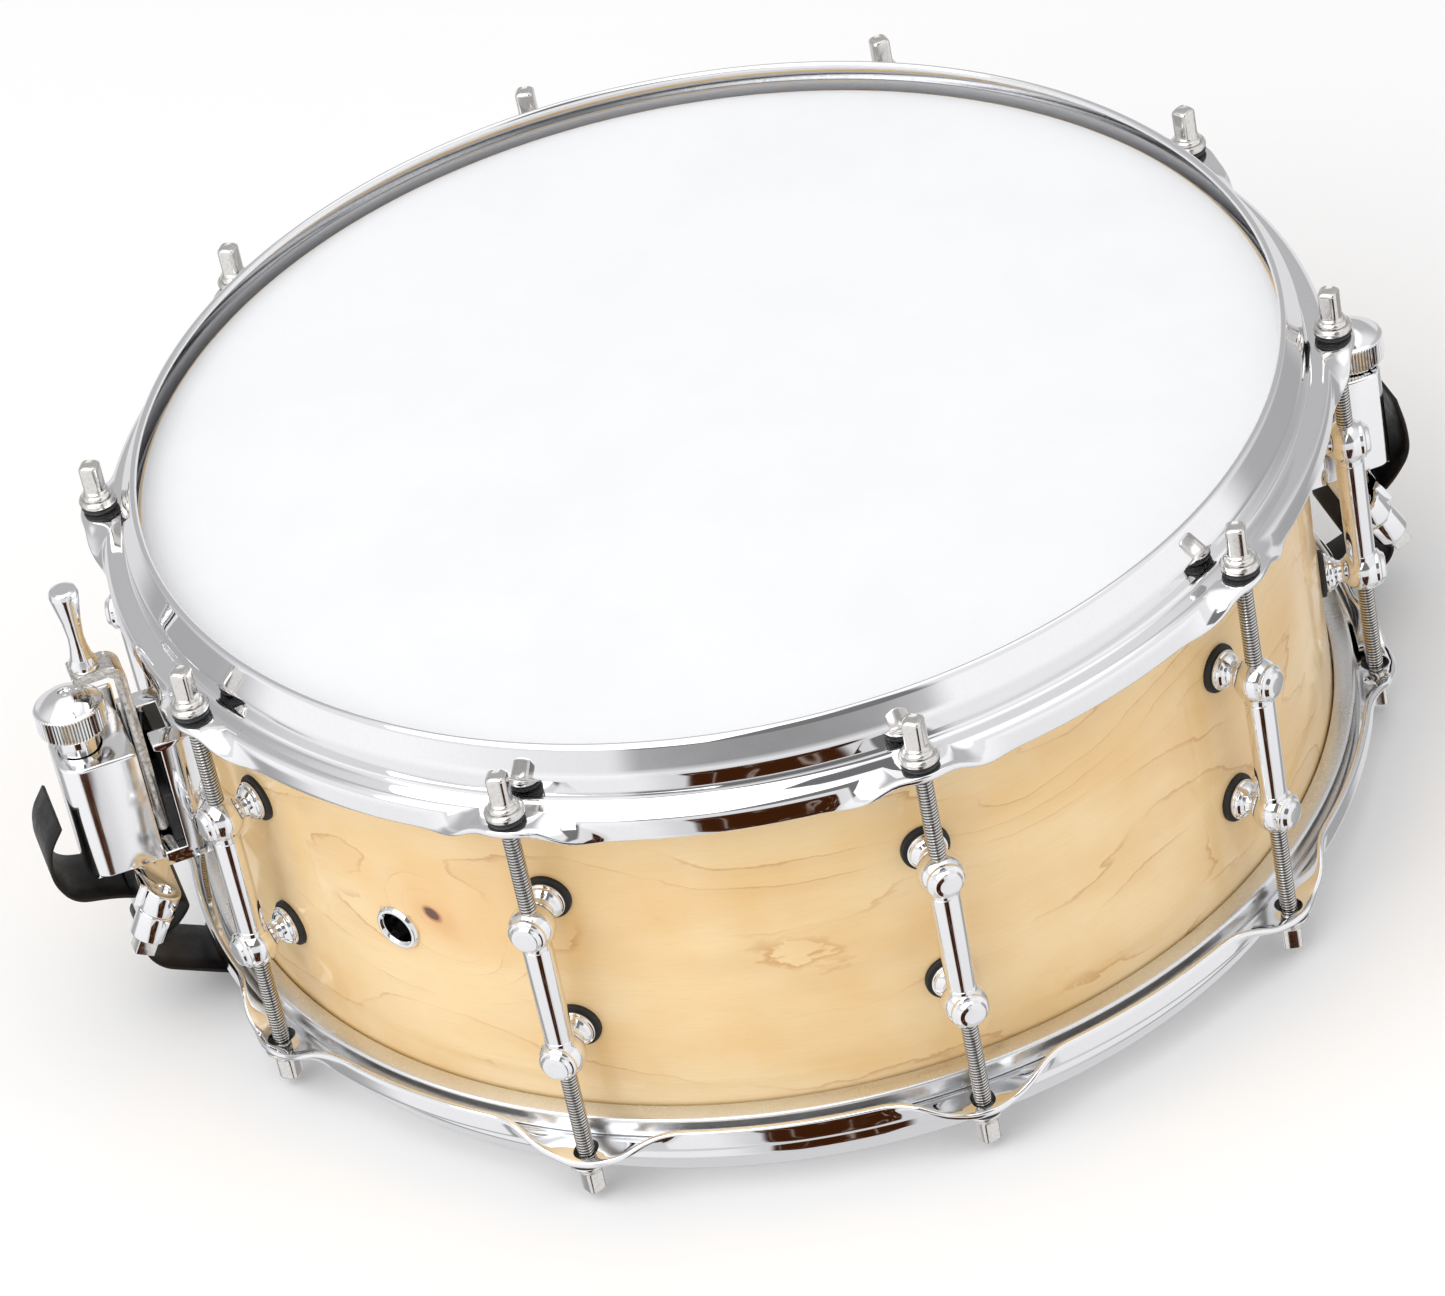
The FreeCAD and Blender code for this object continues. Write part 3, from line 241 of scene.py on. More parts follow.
# ---- materials ---------------------------------------------------------------------------------
def new_material(name, **inputs):
    """A Principled material with its constants, its graph and its object coordinates in millimetres."""
    material = bpy.data.materials.new(name)
    material.use_nodes = True
    g = Graph(material.node_tree)
    skin = material.node_tree.nodes["Principled BSDF"]
    for key, value in inputs.items():
        skin.inputs[key.replace("_", " ")].default_value = value
    place = g.add("VectorMath", g.add("TexCoord").outputs["Object"], operation="SCALE")
    place.inputs["Scale"].default_value = 1 / MM
    return material, g, skin, place.outputs[0]


def bump(g, skin, height, distance):
    node = g.add("Bump")
    node.inputs["Strength"].default_value = 1.0
    node.inputs["Distance"].default_value = distance * MM
    g.feed(node.inputs["Height"], height)
    g.feed(skin.inputs["Normal"], node.outputs[0])


def metal(name, colour, rough, spread, ripple=0.0, grain=0.0, stain=0.0):
    """A plated or rolled metal: roughness varies, the surface ripples a little, and it can be stained.
    Where a mesh has a groove attribute, shade is painted into its grooves: their colour goes nearly black."""
    material, g, skin, place = new_material(name, Metallic=1.0)
    cloud = g.noise(place, 0.06, 3.0)
    smear = g.noise(place, 0.9, 4.0, 0.65)
    uneven = g.plus(g.times(cloud, 0.4), g.times(smear, 0.6))
    g.feed(skin.inputs["Roughness"], g.scaled(uneven, 0.3, 0.75, rough, rough + spread))
    dull = tuple(c * (1 - stain) for c in colour)
    tone = g.mix(g.scaled(smear, 0.42, 0.7), colour + (1,), dull + (1,))
    # painted shade: the deeper a point lies below its crest, the nearer black its colour, as if shade filled the
    # threads and flutes
    groove = g.scaled(g.add("Attribute", attribute_name="groove").outputs["Fac"], 0.15, 0.9, 0.0, 0.93)
    g.feed(skin.inputs["Base Color"], g.mix(groove, tone, tuple(c * 0.07 for c in colour) + (1,)))
    wave = g.times(g.noise(place, 0.11, 1.0), ripple)
    fine = g.times(g.noise(place, 3.0, 2.0), grain)
    bump(g, skin, g.plus(wave, fine), 1.0)
    return material


def plastic(name, colour, rough, spread, grain, scale, **inputs):
    """A moulded black part with a fine grain and faint dust."""
    material, g, skin, place = new_material(name, **inputs)
    speck = g.noise(place, scale, 3.0, 0.6)
    dust = g.noise(place, 0.35, 4.0, 0.7)
    dusty = tuple(c * 1.9 + 0.006 for c in colour)
    g.feed(skin.inputs["Base Color"], g.mix(g.scaled(dust, 0.45, 0.8, 0.0, 0.6), colour + (1,), dusty + (1,)))
    g.feed(skin.inputs["Roughness"], g.scaled(dust, 0.3, 0.7, rough, rough + spread))
    bump(g, skin, speck, grain)
    return material


def maple():
    """Rotary-cut maple under satin lacquer: flowing growth lines, a knot beside the vent and a pin knot."""
    material, g, skin, place = new_material("maple", Coat_Weight=0.55, Coat_Roughness=0.09, Coat_IOR=1.5)
    x, y, z = g.split(place)
    # distance round the shell, from the butt end's side; the join is behind the strainer
    along = g.times(g.math("ARCTAN2", y, x), SHELL_R)

    def stretched(du, dv, layer, detail=2.0, roughness=0.5, distortion=0.0):
        """Noise drawn out to du round the shell and dv up it; layer picks a slice of its own."""
        spot = g.xyz(g.over(along, du), g.over(z, dv), layer)
        return g.noise(spot, 1.0, detail, roughness, distortion)

    def knot(angle, height, wide, tall, lean=0.0):
        """The squared distance from a knot's middle, 1 at the edge of its ellipse."""
        side = math.radians(angle if angle < 180 else angle - 360) * SHELL_R
        du = g.minus(along, side)
        dv = g.minus(z, height)
        dv = g.plus(dv, g.times(du, lean))
        return g.plus(g.math("POWER", g.size(g.over(du, wide)), 2.0), g.math("POWER", g.size(g.over(dv, tall)), 2.0))

    big = knot(220.7, 90.4, 2.5, 2.1, 0.25)
    halo = knot(221.3, 88.6, 17.0, 14.0, 0.25)
    pin = knot(249.0, 17.0, 1.1, 0.9)
    swirl = g.math("EXPONENT", g.times(halo, -1.0))
    pin_swirl = g.math("EXPONENT", g.times(knot(249.0, 17.0, 6.0, 5.0), -1.0))

    # the growth lines are level lines of this field; a knot pushes them aside
    warp = g.times(stretched(150.0, 62.0, 2.3, 1.5, 0.45, 0.25), 9.0)
    small = g.plus(g.times(stretched(24.0, 9.0, 5.1, 2.0, 0.5), 0.55),
                   g.times(stretched(5.0, 2.2, 6.3, 2.0, 0.6), 0.16))
    field = g.plus(g.over(z, 24.0), g.plus(warp, small))
    field = g.plus(field, g.plus(g.times(swirl, 3.4), g.times(pin_swirl, 1.3)))
    ring = g.math("FRACT", field)
    edge = g.times(g.scaled(ring, 0.90, 0.975), g.scaled(ring, 0.975, 1.0, 1.0, 0.0))
    shade = g.times(g.scaled(ring, 0.25, 0.96), g.scaled(ring, 0.96, 1.0, 1.0, 0.0))
    fade = g.scaled(stretched(48.0, 20.0, 8.7, 2.0), 0.40, 0.64, 0.05, 1.0)
    fibre = stretched(11.0, 0.55, 1.2, 3.0, 0.6)
    pores = g.scaled(stretched(3.2, 0.28, 4.4, 2.0, 0.6), 0.62, 0.76)
    cloud = stretched(90.0, 40.0, 11.0, 2.5, 0.55)
    # the figure: lighter patches, partly the maple's own figure and partly its chatoyant sheen painted into the colour
    figure_and_sheen = stretched(16.0, 30.0, 13.0, 1.0)
    scorch = g.math("EXPONENT", g.times(halo, -4.0))
    ragged = g.plus(big, g.times(g.minus(fibre, 0.5), 1.4))

    tone = g.mix(g.scaled(cloud, 0.34, 0.68), (0.94, 0.70, 0.375, 1), (0.875, 0.58, 0.25, 1))
    for share, colour in (
            # figure layer: wood figure with a painted sheen, lighter and paler
            (g.scaled(figure_and_sheen, 0.4, 0.75, 0.0, 0.22), (0.95, 0.77, 0.50, 1)),
            (g.times(g.times(shade, fade), 0.20), (0.70, 0.42, 0.18, 1)),
            (g.times(g.times(edge, fade), 0.62), (0.62, 0.29, 0.085, 1)),
            (g.scaled(fibre, 0.35, 0.72, 0.0, 0.16), (0.74, 0.49, 0.25, 1)),
            (g.times(pores, 0.13), (0.50, 0.27, 0.12, 1)),
            (g.times(scorch, 0.45), (0.70, 0.32, 0.09, 1)),
            (g.times(pin_swirl, 0.22), (0.62, 0.33, 0.14, 1)),
            (g.times(g.scaled(big, 1.0, 2.6, 1.0, 0.0), 0.75), (0.44, 0.15, 0.045, 1)),
            (g.scaled(ragged, 0.55, 1.25, 0.92, 0.0), (0.085, 0.022, 0.010, 1)),
            (g.scaled(pin, 0.5, 1.6, 0.7, 0.0), (0.34, 0.13, 0.05, 1))):
        tone = g.mix(share, tone, colour)
    g.feed(skin.inputs["Base Color"], tone)
    g.feed(skin.inputs["Roughness"], g.scaled(fibre, 0.3, 0.75, 0.34, 0.50))
    relief = g.minus(g.times(fibre, 0.35), g.times(pores, 0.5))
    bump(g, skin, relief, 0.02)
    return material


def film(name, colour, clear):
    """A polyester drumhead: sprayed white coating, or a hazy clear sheet."""
    material, g, skin, place = new_material(name, Transmission_Weight=0.40 if clear else 0.0, IOR=1.45)
    speck = g.noise(place, 2.6, 3.0, 0.7)
    haze = g.noise(place, 0.02, 3.0, 0.6)
    darker = tuple(c * (0.965 if clear else 0.975) for c in colour)
    g.feed(skin.inputs["Base Color"], g.mix(g.scaled(haze, 0.35, 0.7), colour + (1,), darker + (1,)))
    rough = (0.10, 0.20) if clear else (0.55, 0.68)
    g.feed(skin.inputs["Roughness"], g.scaled(speck, 0.3, 0.7, *rough))
    bump(g, skin, speck, 0.001 if clear else 0.03)
    return material


CHROME = metal("chrome", (0.86, 0.86, 0.87), 0.025, 0.035, ripple=0.012, stain=0.02)
NICKEL = metal("nickel", (0.76, 0.74, 0.71), 0.10, 0.12, ripple=0.01, grain=0.004, stain=0.10)
WORN = metal("worn_nickel", (0.80, 0.77, 0.73), 0.10, 0.20, ripple=0.03, grain=0.012, stain=0.35)
SATIN = metal("satin_chrome", (0.92, 0.92, 0.93), 0.11, 0.03, ripple=0.01, stain=0.01)
STEEL = metal("snare_steel", (0.66, 0.66, 0.65), 0.20, 0.14, grain=0.002, stain=0.12)
ALUMINIUM = metal("flesh_ring_aluminium", (0.80, 0.81, 0.82), 0.26, 0.10, grain=0.004, stain=0.06)
NYLON = plastic("black_nylon", (0.020, 0.020, 0.021), 0.38, 0.2, 0.02, 2.5)
RUBBER = plastic("black_rubber", (0.013, 0.013, 0.013), 0.5, 0.2, 0.02, 3.5)
STRAP = plastic("black_strap", (0.008, 0.0065, 0.006), 0.34, 0.16, 0.012, 1.2, Specular_IOR_Level=0.3)
MAPLE = maple()
COATED = film("coated_film", (0.90, 0.905, 0.915), False)
CLEAR = film("clear_film", (0.93, 0.94, 0.95), True)
FINISH = {
    "maple": MAPLE, "chrome": CHROME, "nickel": NICKEL, "black_nylon": NYLON, "black_rubber": RUBBER,
    "flesh_ring_aluminium": ALUMINIUM, "coated_film": COATED, "clear_film": CLEAR, "black_strap": STRAP,
    "snare_steel": STEEL,
}
SLOT_OF = {part["node"]: part["material_slot"] for part in frame["record"]["subparts"]}
BODY_OF = {node: body for body, group in frame["record"]["behaviour"]["bodies"].items() for node in group}


# ---- shape helpers -----------------------------------------------------------------------------
def soften(points, radius=0.4, steps=4, closed=True):
    """Rounds a polygon's corners; a point may carry its own radius as a third number."""
    out = []
    for i, point in enumerate(points):
        size = point[2] if len(point) > 2 else radius
        here = Vector(point[:2])
        before, after = Vector(points[i - 1][:2]) - here, Vector(points[(i + 1) % len(points)][:2]) - here
        if size <= 0 or (not closed and i in (0, len(points) - 1)) or before.length < 1e-6 or after.length < 1e-6:
            out.append(here)
            continue
        angle = before.angle(after)
        if angle > 3.1:
            out.append(here)
            continue
        reach = min(size / math.tan(angle / 2), before.length * 0.48, after.length * 0.48)
        size = reach * math.tan(angle / 2)
        centre = here + (before.normalized() + after.normalized()).normalized() * (size / math.sin(angle / 2))
        start, end = here + before.normalized() * reach - centre, here + after.normalized() * reach - centre
        first = math.atan2(start.y, start.x)
        sweep = (math.atan2(end.y, end.x) - first + math.pi) % (2 * math.pi) - math.pi
        out += [centre + Vector((math.cos(first + sweep * k / steps), math.sin(first + sweep * k / steps))) * size
                for k in range(steps + 1)]
    return out


def ring_grid(bm, rings, closed=True):
    """Skins a list of vertex rings; a ring of one vertex is a pole. closed joins the last ring to the first."""
    pairs = list(zip(rings, rings[1:])) + ([(rings[-1], rings[0])] if closed else [])
    for a, b in pairs:
        if len(a) == 1 and len(b) == 1:
            continue
        count = max(len(a), len(b))
        for k in range(count):
            m = (k + 1) % count
            if len(a) == 1:
                bm.faces.new((a[0], b[m], b[k]))
            elif len(b) == 1:
                bm.faces.new((a[k], a[m], b[0]))
            else:
                bm.faces.new((a[k], a[m], b[m], b[k]))


def lathe(bm, profile, segments=48, matrix=Matrix(), closed=False):
    """Spins (radius, height) points round Z. An open profile runs from axis to axis."""
    rings = []
    for radius, height in profile:
        if radius < 1e-6:
            rings.append([bm.verts.new(matrix @ Vector((0, 0, height)))])
        else:
            rings.append([bm.verts.new(matrix @ Vector((radius * math.cos(2 * math.pi * k / segments),
                                                        radius * math.sin(2 * math.pi * k / segments), height)))
                          for k in range(segments)])
    ring_grid(bm, rings, closed)


def polar(bm, sections, segments, matrix=Matrix(), crest=None, depth=1.0):
    """Lofts cross-sections (height, function of angle giving a radius), capped at both ends.
    With a crest radius, each point's depth below it is kept as the groove attribute, which the metal material turns
    into painted shade."""
    layer = bm.verts.layers.float.get("groove") or bm.verts.layers.float.new("groove")
    rings = []
    for height, radius in sections:
        ring = []
        for k in range(segments):
            t = 2 * math.pi * k / segments
            ring.append(bm.verts.new(matrix @ Vector((radius(t) * math.cos(t), radius(t) * math.sin(t), height))))
        rings.append(ring)
    # this depth is what the metal material uses to paint shade into the grooves
    if crest:
        for (height, radius), ring in zip(sections, rings):
            for k, vert in enumerate(ring):
                vert[layer] = min(1.0, max(0.0, (crest(height) - radius(2 * math.pi * k / segments)) / depth))
    ring_grid(bm, rings, False)
    bm.faces.new(list(reversed(rings[0])))
    bm.faces.new(rings[-1])


def box_round(half, power):
    """The radius of a square with rounded corners; power 2 is a circle."""
    return lambda t: half / (abs(math.cos(t)) ** power + abs(math.sin(t)) ** power) ** (1 / power)


def thread(bm, outer, depth, pitch, low, high, matrix, segments=16):
    """A screw thread: the crest winds round the shaft, and fades out towards its high end."""
    rows, fade = 6, 1.0             # cross-sections in a turn, and the length that it fades out over
    count = max(2, int((high - low) / pitch * rows))
    sections = []
    for row in range(count + 1):
        z = low + (high - low) * row / count
        size = depth * min(1.0, max(0.0, (high - z) / fade))

        def radius(t, z=z, size=size):
            phase = (z / pitch - t / (2 * math.pi)) % 1.0
            return outer - size * (1 - abs(2 * phase - 1)) ** 0.8

        sections.append((z, radius))
    # the thread's depth below its crest becomes painted shade in the metal's colour
    polar(bm, sections, segments, matrix, lambda z: outer, depth)


def piece(name, bm, material, stands_for, angle=32, bend=None):
    """Makes the object, shades it, and ties it to its body and the nodes that it stands for.
    bend's two bodies and the start and end of a strip are not used; a piece given bend is tied to no body and its
    placing is baked into its mesh."""
    bmesh.ops.recalc_face_normals(bm, faces=bm.faces)
    mesh = bpy.data.meshes.new(name)
    bm.to_mesh(mesh)
    bm.free()
    mesh.transform(Matrix.Scale(MM, 4))
    mesh.materials.append(material)
    mesh.shade_smooth()
    mesh.set_sharp_from_angle(angle=math.radians(angle))
    made = bpy.data.objects.new(name, mesh)
    scene.collection.objects.link(made)
    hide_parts(*stands_for)
    if bend:
        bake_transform(made)
    else:
        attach(made, BODY_OF[stands_for[0]])
    return made


def outward(angle, height):
    """Takes local Z to the outward direction at that angle and height."""
    lifted = Matrix.Rotation(math.radians(angle), 4, "Z") @ Matrix.Translation((0, 0, height))
    return lifted @ Matrix.Rotation(math.pi / 2, 4, "Y")


def standing(angle, radius):
    """An upright axis at that angle and radius."""
    return Matrix.Rotation(math.radians(angle), 4, "Z") @ Matrix.Translation((radius, 0, 0))


def swap(points):
    """(distance along the axis, radius) to (radius, distance)."""
    return [(p[1], p[0]) + tuple(p[2:]) for p in points]


def cut_away(made, cutter_bm):
    """Takes the cutter out of the piece and leaves no modifier behind."""
    mesh = bpy.data.meshes.new("cutter")
    bmesh.ops.recalc_face_normals(cutter_bm, faces=cutter_bm.faces)
    cutter_bm.to_mesh(mesh)
    cutter_bm.free()
    mesh.transform(Matrix.Scale(MM, 4))
    tool = bpy.data.objects.new("cutter", mesh)
    scene.collection.objects.link(tool)
    change = made.modifiers.new("cut", "BOOLEAN")
    change.operation, change.object, change.solver = "DIFFERENCE", tool, "EXACT"
    bpy.context.view_layer.update()
    shown = made.evaluated_get(bpy.context.evaluated_depsgraph_get())
    result = bpy.data.meshes.new_from_object(shown)
    made.modifiers.clear()
    old, name = made.data, made.data.name
    made.data = result
    bpy.data.meshes.remove(old)
    result.name = name
    bpy.data.objects.remove(tool)
    bpy.data.meshes.remove(mesh)


# ---- shell, heads and rings --------------------------------------------------------------------
def make_shell():
    bm = bmesh.new()
    # rings close to the vent keep the wall's faces short where the hole is cut
    wall = [(SHELL_R, z, 0) for z in (30, 50, 64, 71, 74.5, 87.2, 90.7, 98, 112, 132)]
    outline = soften([(SHELL_R, SHELL_LOW, 1.5)] + wall +
                     [(SHELL_R, SHELL_HIGH, 1.5), (174.6, SHELL_HIGH, 0.6), (SHELL_INNER_R, 146.4, 0.8),
                      (SHELL_INNER_R, 15.3, 0.8), (174.6, SHELL_LOW, 0.6)], steps=5)
    lathe(bm, outline, 360, closed=True)
    shell = piece("maple_shell", bm, MAPLE, ["shell"])
    hole = bmesh.new()
    lathe(hole, [(0, 160), (5.95, 160), (5.95, 190), (0, 190)], 40, outward(*VENT))
    cut_away(shell, hole)


def make_heads():
    def collar(flip):
        """The film's outline: flat across the shell, over its edge and down inside the ring."""
        face = [(0, 151.0), (60, 151.0), (120, 151.0), (165, 151.0), (174, 150.98), (176.2, 150.75), (177.3, 150.1),
                (177.9, 149.0), (FILM_R, 147.5), (FILM_R, 142.9), (177.8, 142.9), (177.8, 147.5), (177.6, 148.8),
                (177.0, 149.8), (176.0, 150.4), (174, 150.68), (165, SHELL_HIGH), (120, SHELL_HIGH),
                (60, SHELL_HIGH), (0, SHELL_HIGH)]
        return [(r, OVERALL - z if flip else z) for r, z in face]

    for node, flip, material in (("batter_head", False, COATED), ("snare_head", True, CLEAR)):
        bm = bmesh.new()
        lathe(bm, collar(flip), 256)
        piece(node + "_film", bm, material, [node], angle=50)
    for node, low in (("batter_head_ring", 135.9), ("snare_head_ring", 18.8)):
        bm = bmesh.new()
        high = low + 7
        lathe(bm, soften([(FILM_R, low), (184.8, low, 1.2), (184.8, high, 1.2), (FILM_R, high)], 0.4), 256, closed=True)
        piece(node + "_rolled", bm, ALUMINIUM, [node])


def smooth_step(value, low, high):
    """0 below low and 1 above high, with no kink in between."""
    t = min(1.0, max(0.0, (value - low) / (high - low)))
    return t * t * t * (t * (6 * t - 15) + 10)


def hoop_section(along, gate):
    """The hoop's upper face as (radius, drop) points, at a distance along from the nearest ear's middle.
    gate is 0 to 1: how far the lip and wall are cut away."""
    bend = math.radians(90) * smooth_step(abs(along), 3.0, 33.0)
    length = 7.9 + 1.9 * (1 - smooth_step(abs(along), 0.0, 12.0))
    turn_r = 3.2
    points = [Vector((177.2, 0.1)), Vector((177.8, 0.5)), Vector((178.4, 1.6)), Vector((181.2, 6.4))]
    points += soften([(181.2, 6.4), (HOOP_WALL_R, 8.4, 4.0), (HOOP_WALL_R, EAR_TOP, 1.9), (186.0, EAR_TOP)],
                     steps=6, closed=False)[1:]
    # the flange leaves the shoulder flat, and bends down by bend round turn_r
    for k in range(1, 13):
        t = bend * k / 12
        points.append(Vector((186.8 + turn_r * math.sin(t), EAR_TOP + turn_r * (1 - math.cos(t)))))
    tail = max(0.5, length - turn_r * bend * 0.62)
    start = points[-1]
    for k in range(1, 6):
        points.append(start + Vector((math.cos(bend), math.sin(bend))) * tail * k / 5)
    limit = 25.2
    points = [Vector((p.x, min(p.y, limit))) for p in points]
    if gate > 0:
        cut = 13.6 * gate
        kept = [p for p in points if p.y >= cut]
        first = kept[0]
        missing = len(points) - len(kept)
        column = [Vector((min(first.x, HOOP_WALL_R), cut + (first.y - cut) * k / max(1, missing)))
                  for k in range(missing)]
        points = column + kept
    return points


def shell_of(points, thick):
    """A closed outline: the face, a rounded end, the back face and a rounded start."""
    face, back = [], []
    for i, p in enumerate(points):
        a, b = points[max(0, i - 1)], points[min(len(points) - 1, i + 1)]
        run = (b - a).normalized() if (b - a).length > 1e-9 else Vector((0, 1))
        normal = Vector((-run.y, run.x))
        face.append(p)
        back.append(p + normal * thick)
    ends = []
    for near, far, run in ((face[-1], back[-1], (points[-1] - points[-2]).normalized()),
                           (back[0], face[0], (points[0] - points[1]).normalized())):
        middle = (near + far) / 2
        ends.append([middle + (near - middle) * math.cos(t) + run * thick * 0.35 * math.sin(t)
                     for t in (math.pi * k / 6 for k in range(1, 6))])
    return face + ends[0] + list(reversed(back)) + ends[1]


def slot_radius(t):
    """The rod's hole in an ear is a little longer outwards than across."""
    return 3.6 + 0.9 * abs(math.cos(t)) ** 1.5


def make_hoops():
    """Each hoop is ten pressed ears and the flange between them, in one skin.
    The lip and wall of the snare side's are cut away over the two straps."""
    steps = 60
    for node, flip in (("batter_hoop", False), ("snare_hoop", True)):
        whole = bmesh.new()
        for angle in LUG_ANGLES:
            bm = bmesh.new()
            rows = []
            for k in range(steps + 1):
                turn = -18 + 36 * k / steps
                along = math.radians(turn) * ROD_R
                side = (angle + turn + 90) % 180 - 90
                gate = smooth_step(-abs(math.radians(side) * HOOP_WALL_R), -29.0, -22.0) if flip else 0.0
                spin = math.radians(angle + turn)
                row = []
                for p in shell_of(hoop_section(along, gate), HOOP_THICK):
                    drop = max(p.y, 0.0)
                    height = drop if flip else OVERALL - drop
                    row.append(bm.verts.new((p.x * math.cos(spin), p.x * math.sin(spin), height)))
                rows.append(row)
            for a, b in zip(rows, rows[1:]):
                for k in range(len(a)):
                    m = (k + 1) % len(a)
                    bm.faces.new((a[k], a[m], b[m], b[k]))
            for row in (rows[0], rows[-1]):
                bm.faces.new(row)
            bmesh.ops.recalc_face_normals(bm, faces=bm.faces)
            mesh = bpy.data.meshes.new("ear")
            bm.to_mesh(mesh)
            bm.free()
            mesh.transform(Matrix.Scale(MM, 4))
            ear = bpy.data.objects.new("ear", mesh)
            scene.collection.objects.link(ear)
            hole = bmesh.new()
            flat = EAR_MIDDLE if flip else OVERALL - EAR_MIDDLE
            polar(hole, [(flat - 6, slot_radius), (flat + 6, slot_radius)], 36, standing(angle, ROD_R))
            cut_away(ear, hole)
            whole.from_mesh(ear.data)
            spare = ear.data
            bpy.data.objects.remove(ear)
            bpy.data.meshes.remove(spare)
        # the caps between neighbouring ears go, and the seams close
        caps = [f for f in whole.faces if len(f.verts) > 40 and
                abs(f.normal.z) < 0.01 and max(v.co.z for v in f.verts) - min(v.co.z for v in f.verts) > 0.008]
        bmesh.ops.delete(whole, geom=caps, context="FACES_ONLY")
        bmesh.ops.remove_doubles(whole, verts=whole.verts, dist=2e-6)
        bmesh.ops.scale(whole, vec=(1 / MM,) * 3, verts=whole.verts)
        piece(node + "_pressed", whole, CHROME, [node], angle=50)


def make_lugs():
    foot = [(179.0, 0), (179.0, 6.2, 0.3), (180.3, 6.2, 0.5), (180.5, 5.6, 0.2), (181.3, 5.5, 0.4), (182.0, 4.9, 0.5),
            (182.9, 3.75, 0.8), (184.2, 3.45, 0.6)]
    front = [(195.0, 5.75, 0.15), (196.0, 5.75, 0.5), (196.5, 5.2, 0.3), (196.75, 4.75, 0.2), (197.1, 4.5, 0.3),
             (197.9, 4.0, 0.7), (198.19, 2.6, 0.8), (198.19, 0)]
    ball = [(ROD_R + 7 * math.cos(t), 7 * math.sin(t)) for t in
            (math.radians(150 - k * (150 - 55.2) / 18) for k in range(19))]
    profile = [tuple(p) for p in soften(foot + [ball[0] + (0.9,)], closed=False)[:-1]] + ball[1:-1] + \
              [tuple(p) for p in soften([ball[-2]] + front, closed=False)[1:]]
    bm = bmesh.new()
    for angle in LUG_ANGLES:
        for height in BALLS:
            lathe(bm, swap(profile), 48, outward(angle, height))
    piece("lug_posts_turned", bm, CHROME, ["lug_posts"], angle=40)
    bm = bmesh.new()
    low, high = BALLS[0] + 4.6, BALLS[1] - 4.6
    wide, groove = 4.5, 4.28
    tube = [(0, low), (wide, low),
            (wide, low + 2.3, 0.12), (groove, low + 2.42, 0.05), (groove, low + 2.62, 0.05), (wide, low + 2.75, 0.12),
            (wide, high - 2.75, 0.12), (groove, high - 2.62, 0.05), (groove, high - 2.42, 0.05),
            (wide, high - 2.3, 0.12), (wide, high), (0, high)]
    for angle in LUG_ANGLES:
        lathe(bm, soften(tube, 0.0, 2, closed=False), 40, standing(angle, ROD_R))
    piece("lug_tubes_drawn", bm, CHROME, ["lug_tubes"], angle=40)
    bm = bmesh.new()
    pad = soften([(2.2, 177.2), (7.5, 177.1, 0.4), (7.5, 179.0, 0.7), (2.2, 179.0)], 0.2)
    for angle in LUG_ANGLES:
        for height in BALLS:
            lathe(bm, pad, 48, outward(angle, height), closed=True)
    piece("lug_gaskets_moulded", bm, RUBBER, ["lug_gaskets"])


def make_vent():
    bm = bmesh.new()
    outline = soften([(169.6, 5.1, 0.3), (178.2, 5.1, 0.6), (179.1, 5.9, 0.4), (179.1, 6.8, 0.6), (178.0, 7.5, 0.5),
                      (177.1, 7.5, 0.1), (177.1, 5.9, 0.0), (170.2, 5.9, 0.0), (170.2, 7.0, 0.3), (169.6, 7.0, 0.3)],
                     steps=5)
    lathe(bm, swap([tuple(p) for p in outline]), 64, outward(*VENT), closed=True)
    piece("vent_grommet_rolled", bm, CHROME, ["vent_grommet"])


# ---- tension rods ------------------------------------------------------------------------------
def rod_head(bm, matrix, tall, turn):
    """The collar and the square head: a flared collar, a filleted square, and a chamfered, slightly domed top."""
    steps = [(0.0, 4.5, 2), (0.2, 4.75, 2), (0.7, 4.72, 2), (1.15, 4.4, 2), (1.45, 3.95, 2), (1.6, 3.75, 2),
             (1.7, 3.9, 2), (1.95, 3.95, 2), (2.2, 3.8, 2), (2.35, 3.4, 2.4), (2.7, 3.12, 3.2), (3.4, 3.0, 4.4),
             (tall - 1.3, 3.0, 4.6), (tall - 0.8, 2.9, 4.2), (tall - 0.35, 2.5, 3.6), (tall - 0.1, 2.1, 3),
             (tall - 0.35, 1.6, 2.6), (tall - 0.5, 0.7, 2)]
    spun = matrix @ Matrix.Rotation(math.radians(turn), 4, "Z")
    polar(bm, [(z, box_round(half, power)) for z, half, power in steps], 48, spun)


def make_rods():
    turns = [12, 40, 65, 20, 80, 35, 8, 52, 28, 70]     # how far each pair of heads happens to be turned
    # start: the collar's seat; tall: from there to the head's end; end: the tip; bare, plain: where the thread
    # stops and where the plain shank starts, from the seat
    kinds = (("batter", 149.75, 1, 11.95, 98.0, -7.4, -7.6), ("snare", 13.95, -1, 10.95, 62.0, -2.6, -2.8))
    for which in range(10):
        for kind, start, up, tall, end, bare, plain in kinds:
            node = f"{kind}_rod_{which + 1:02d}"
            low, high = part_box(node)
            angle = math.degrees(math.atan2(low.y + high.y, low.x + high.x))
            axis = standing(angle, ROD_R)
            flip = Matrix.Translation((0, 0, start)) @ (Matrix() if up > 0 else Matrix.Rotation(math.pi, 4, "X"))
            bm = bmesh.new()
            rod_head(bm, axis @ flip, tall, turns[which] + (25 if up < 0 else 0))
            reach = abs(start - end)
            # local +Z of the thread runs from the rod's end to its collar
            thread(bm, *ROD_THREAD, -reach, bare, axis @ flip)
            lathe(bm, [(0, plain), (2.66, plain), (2.7, 0.3), (0, 0.3)], 24, axis @ flip)
            piece(node + "_threaded", bm, NICKEL, [node], angle=50)


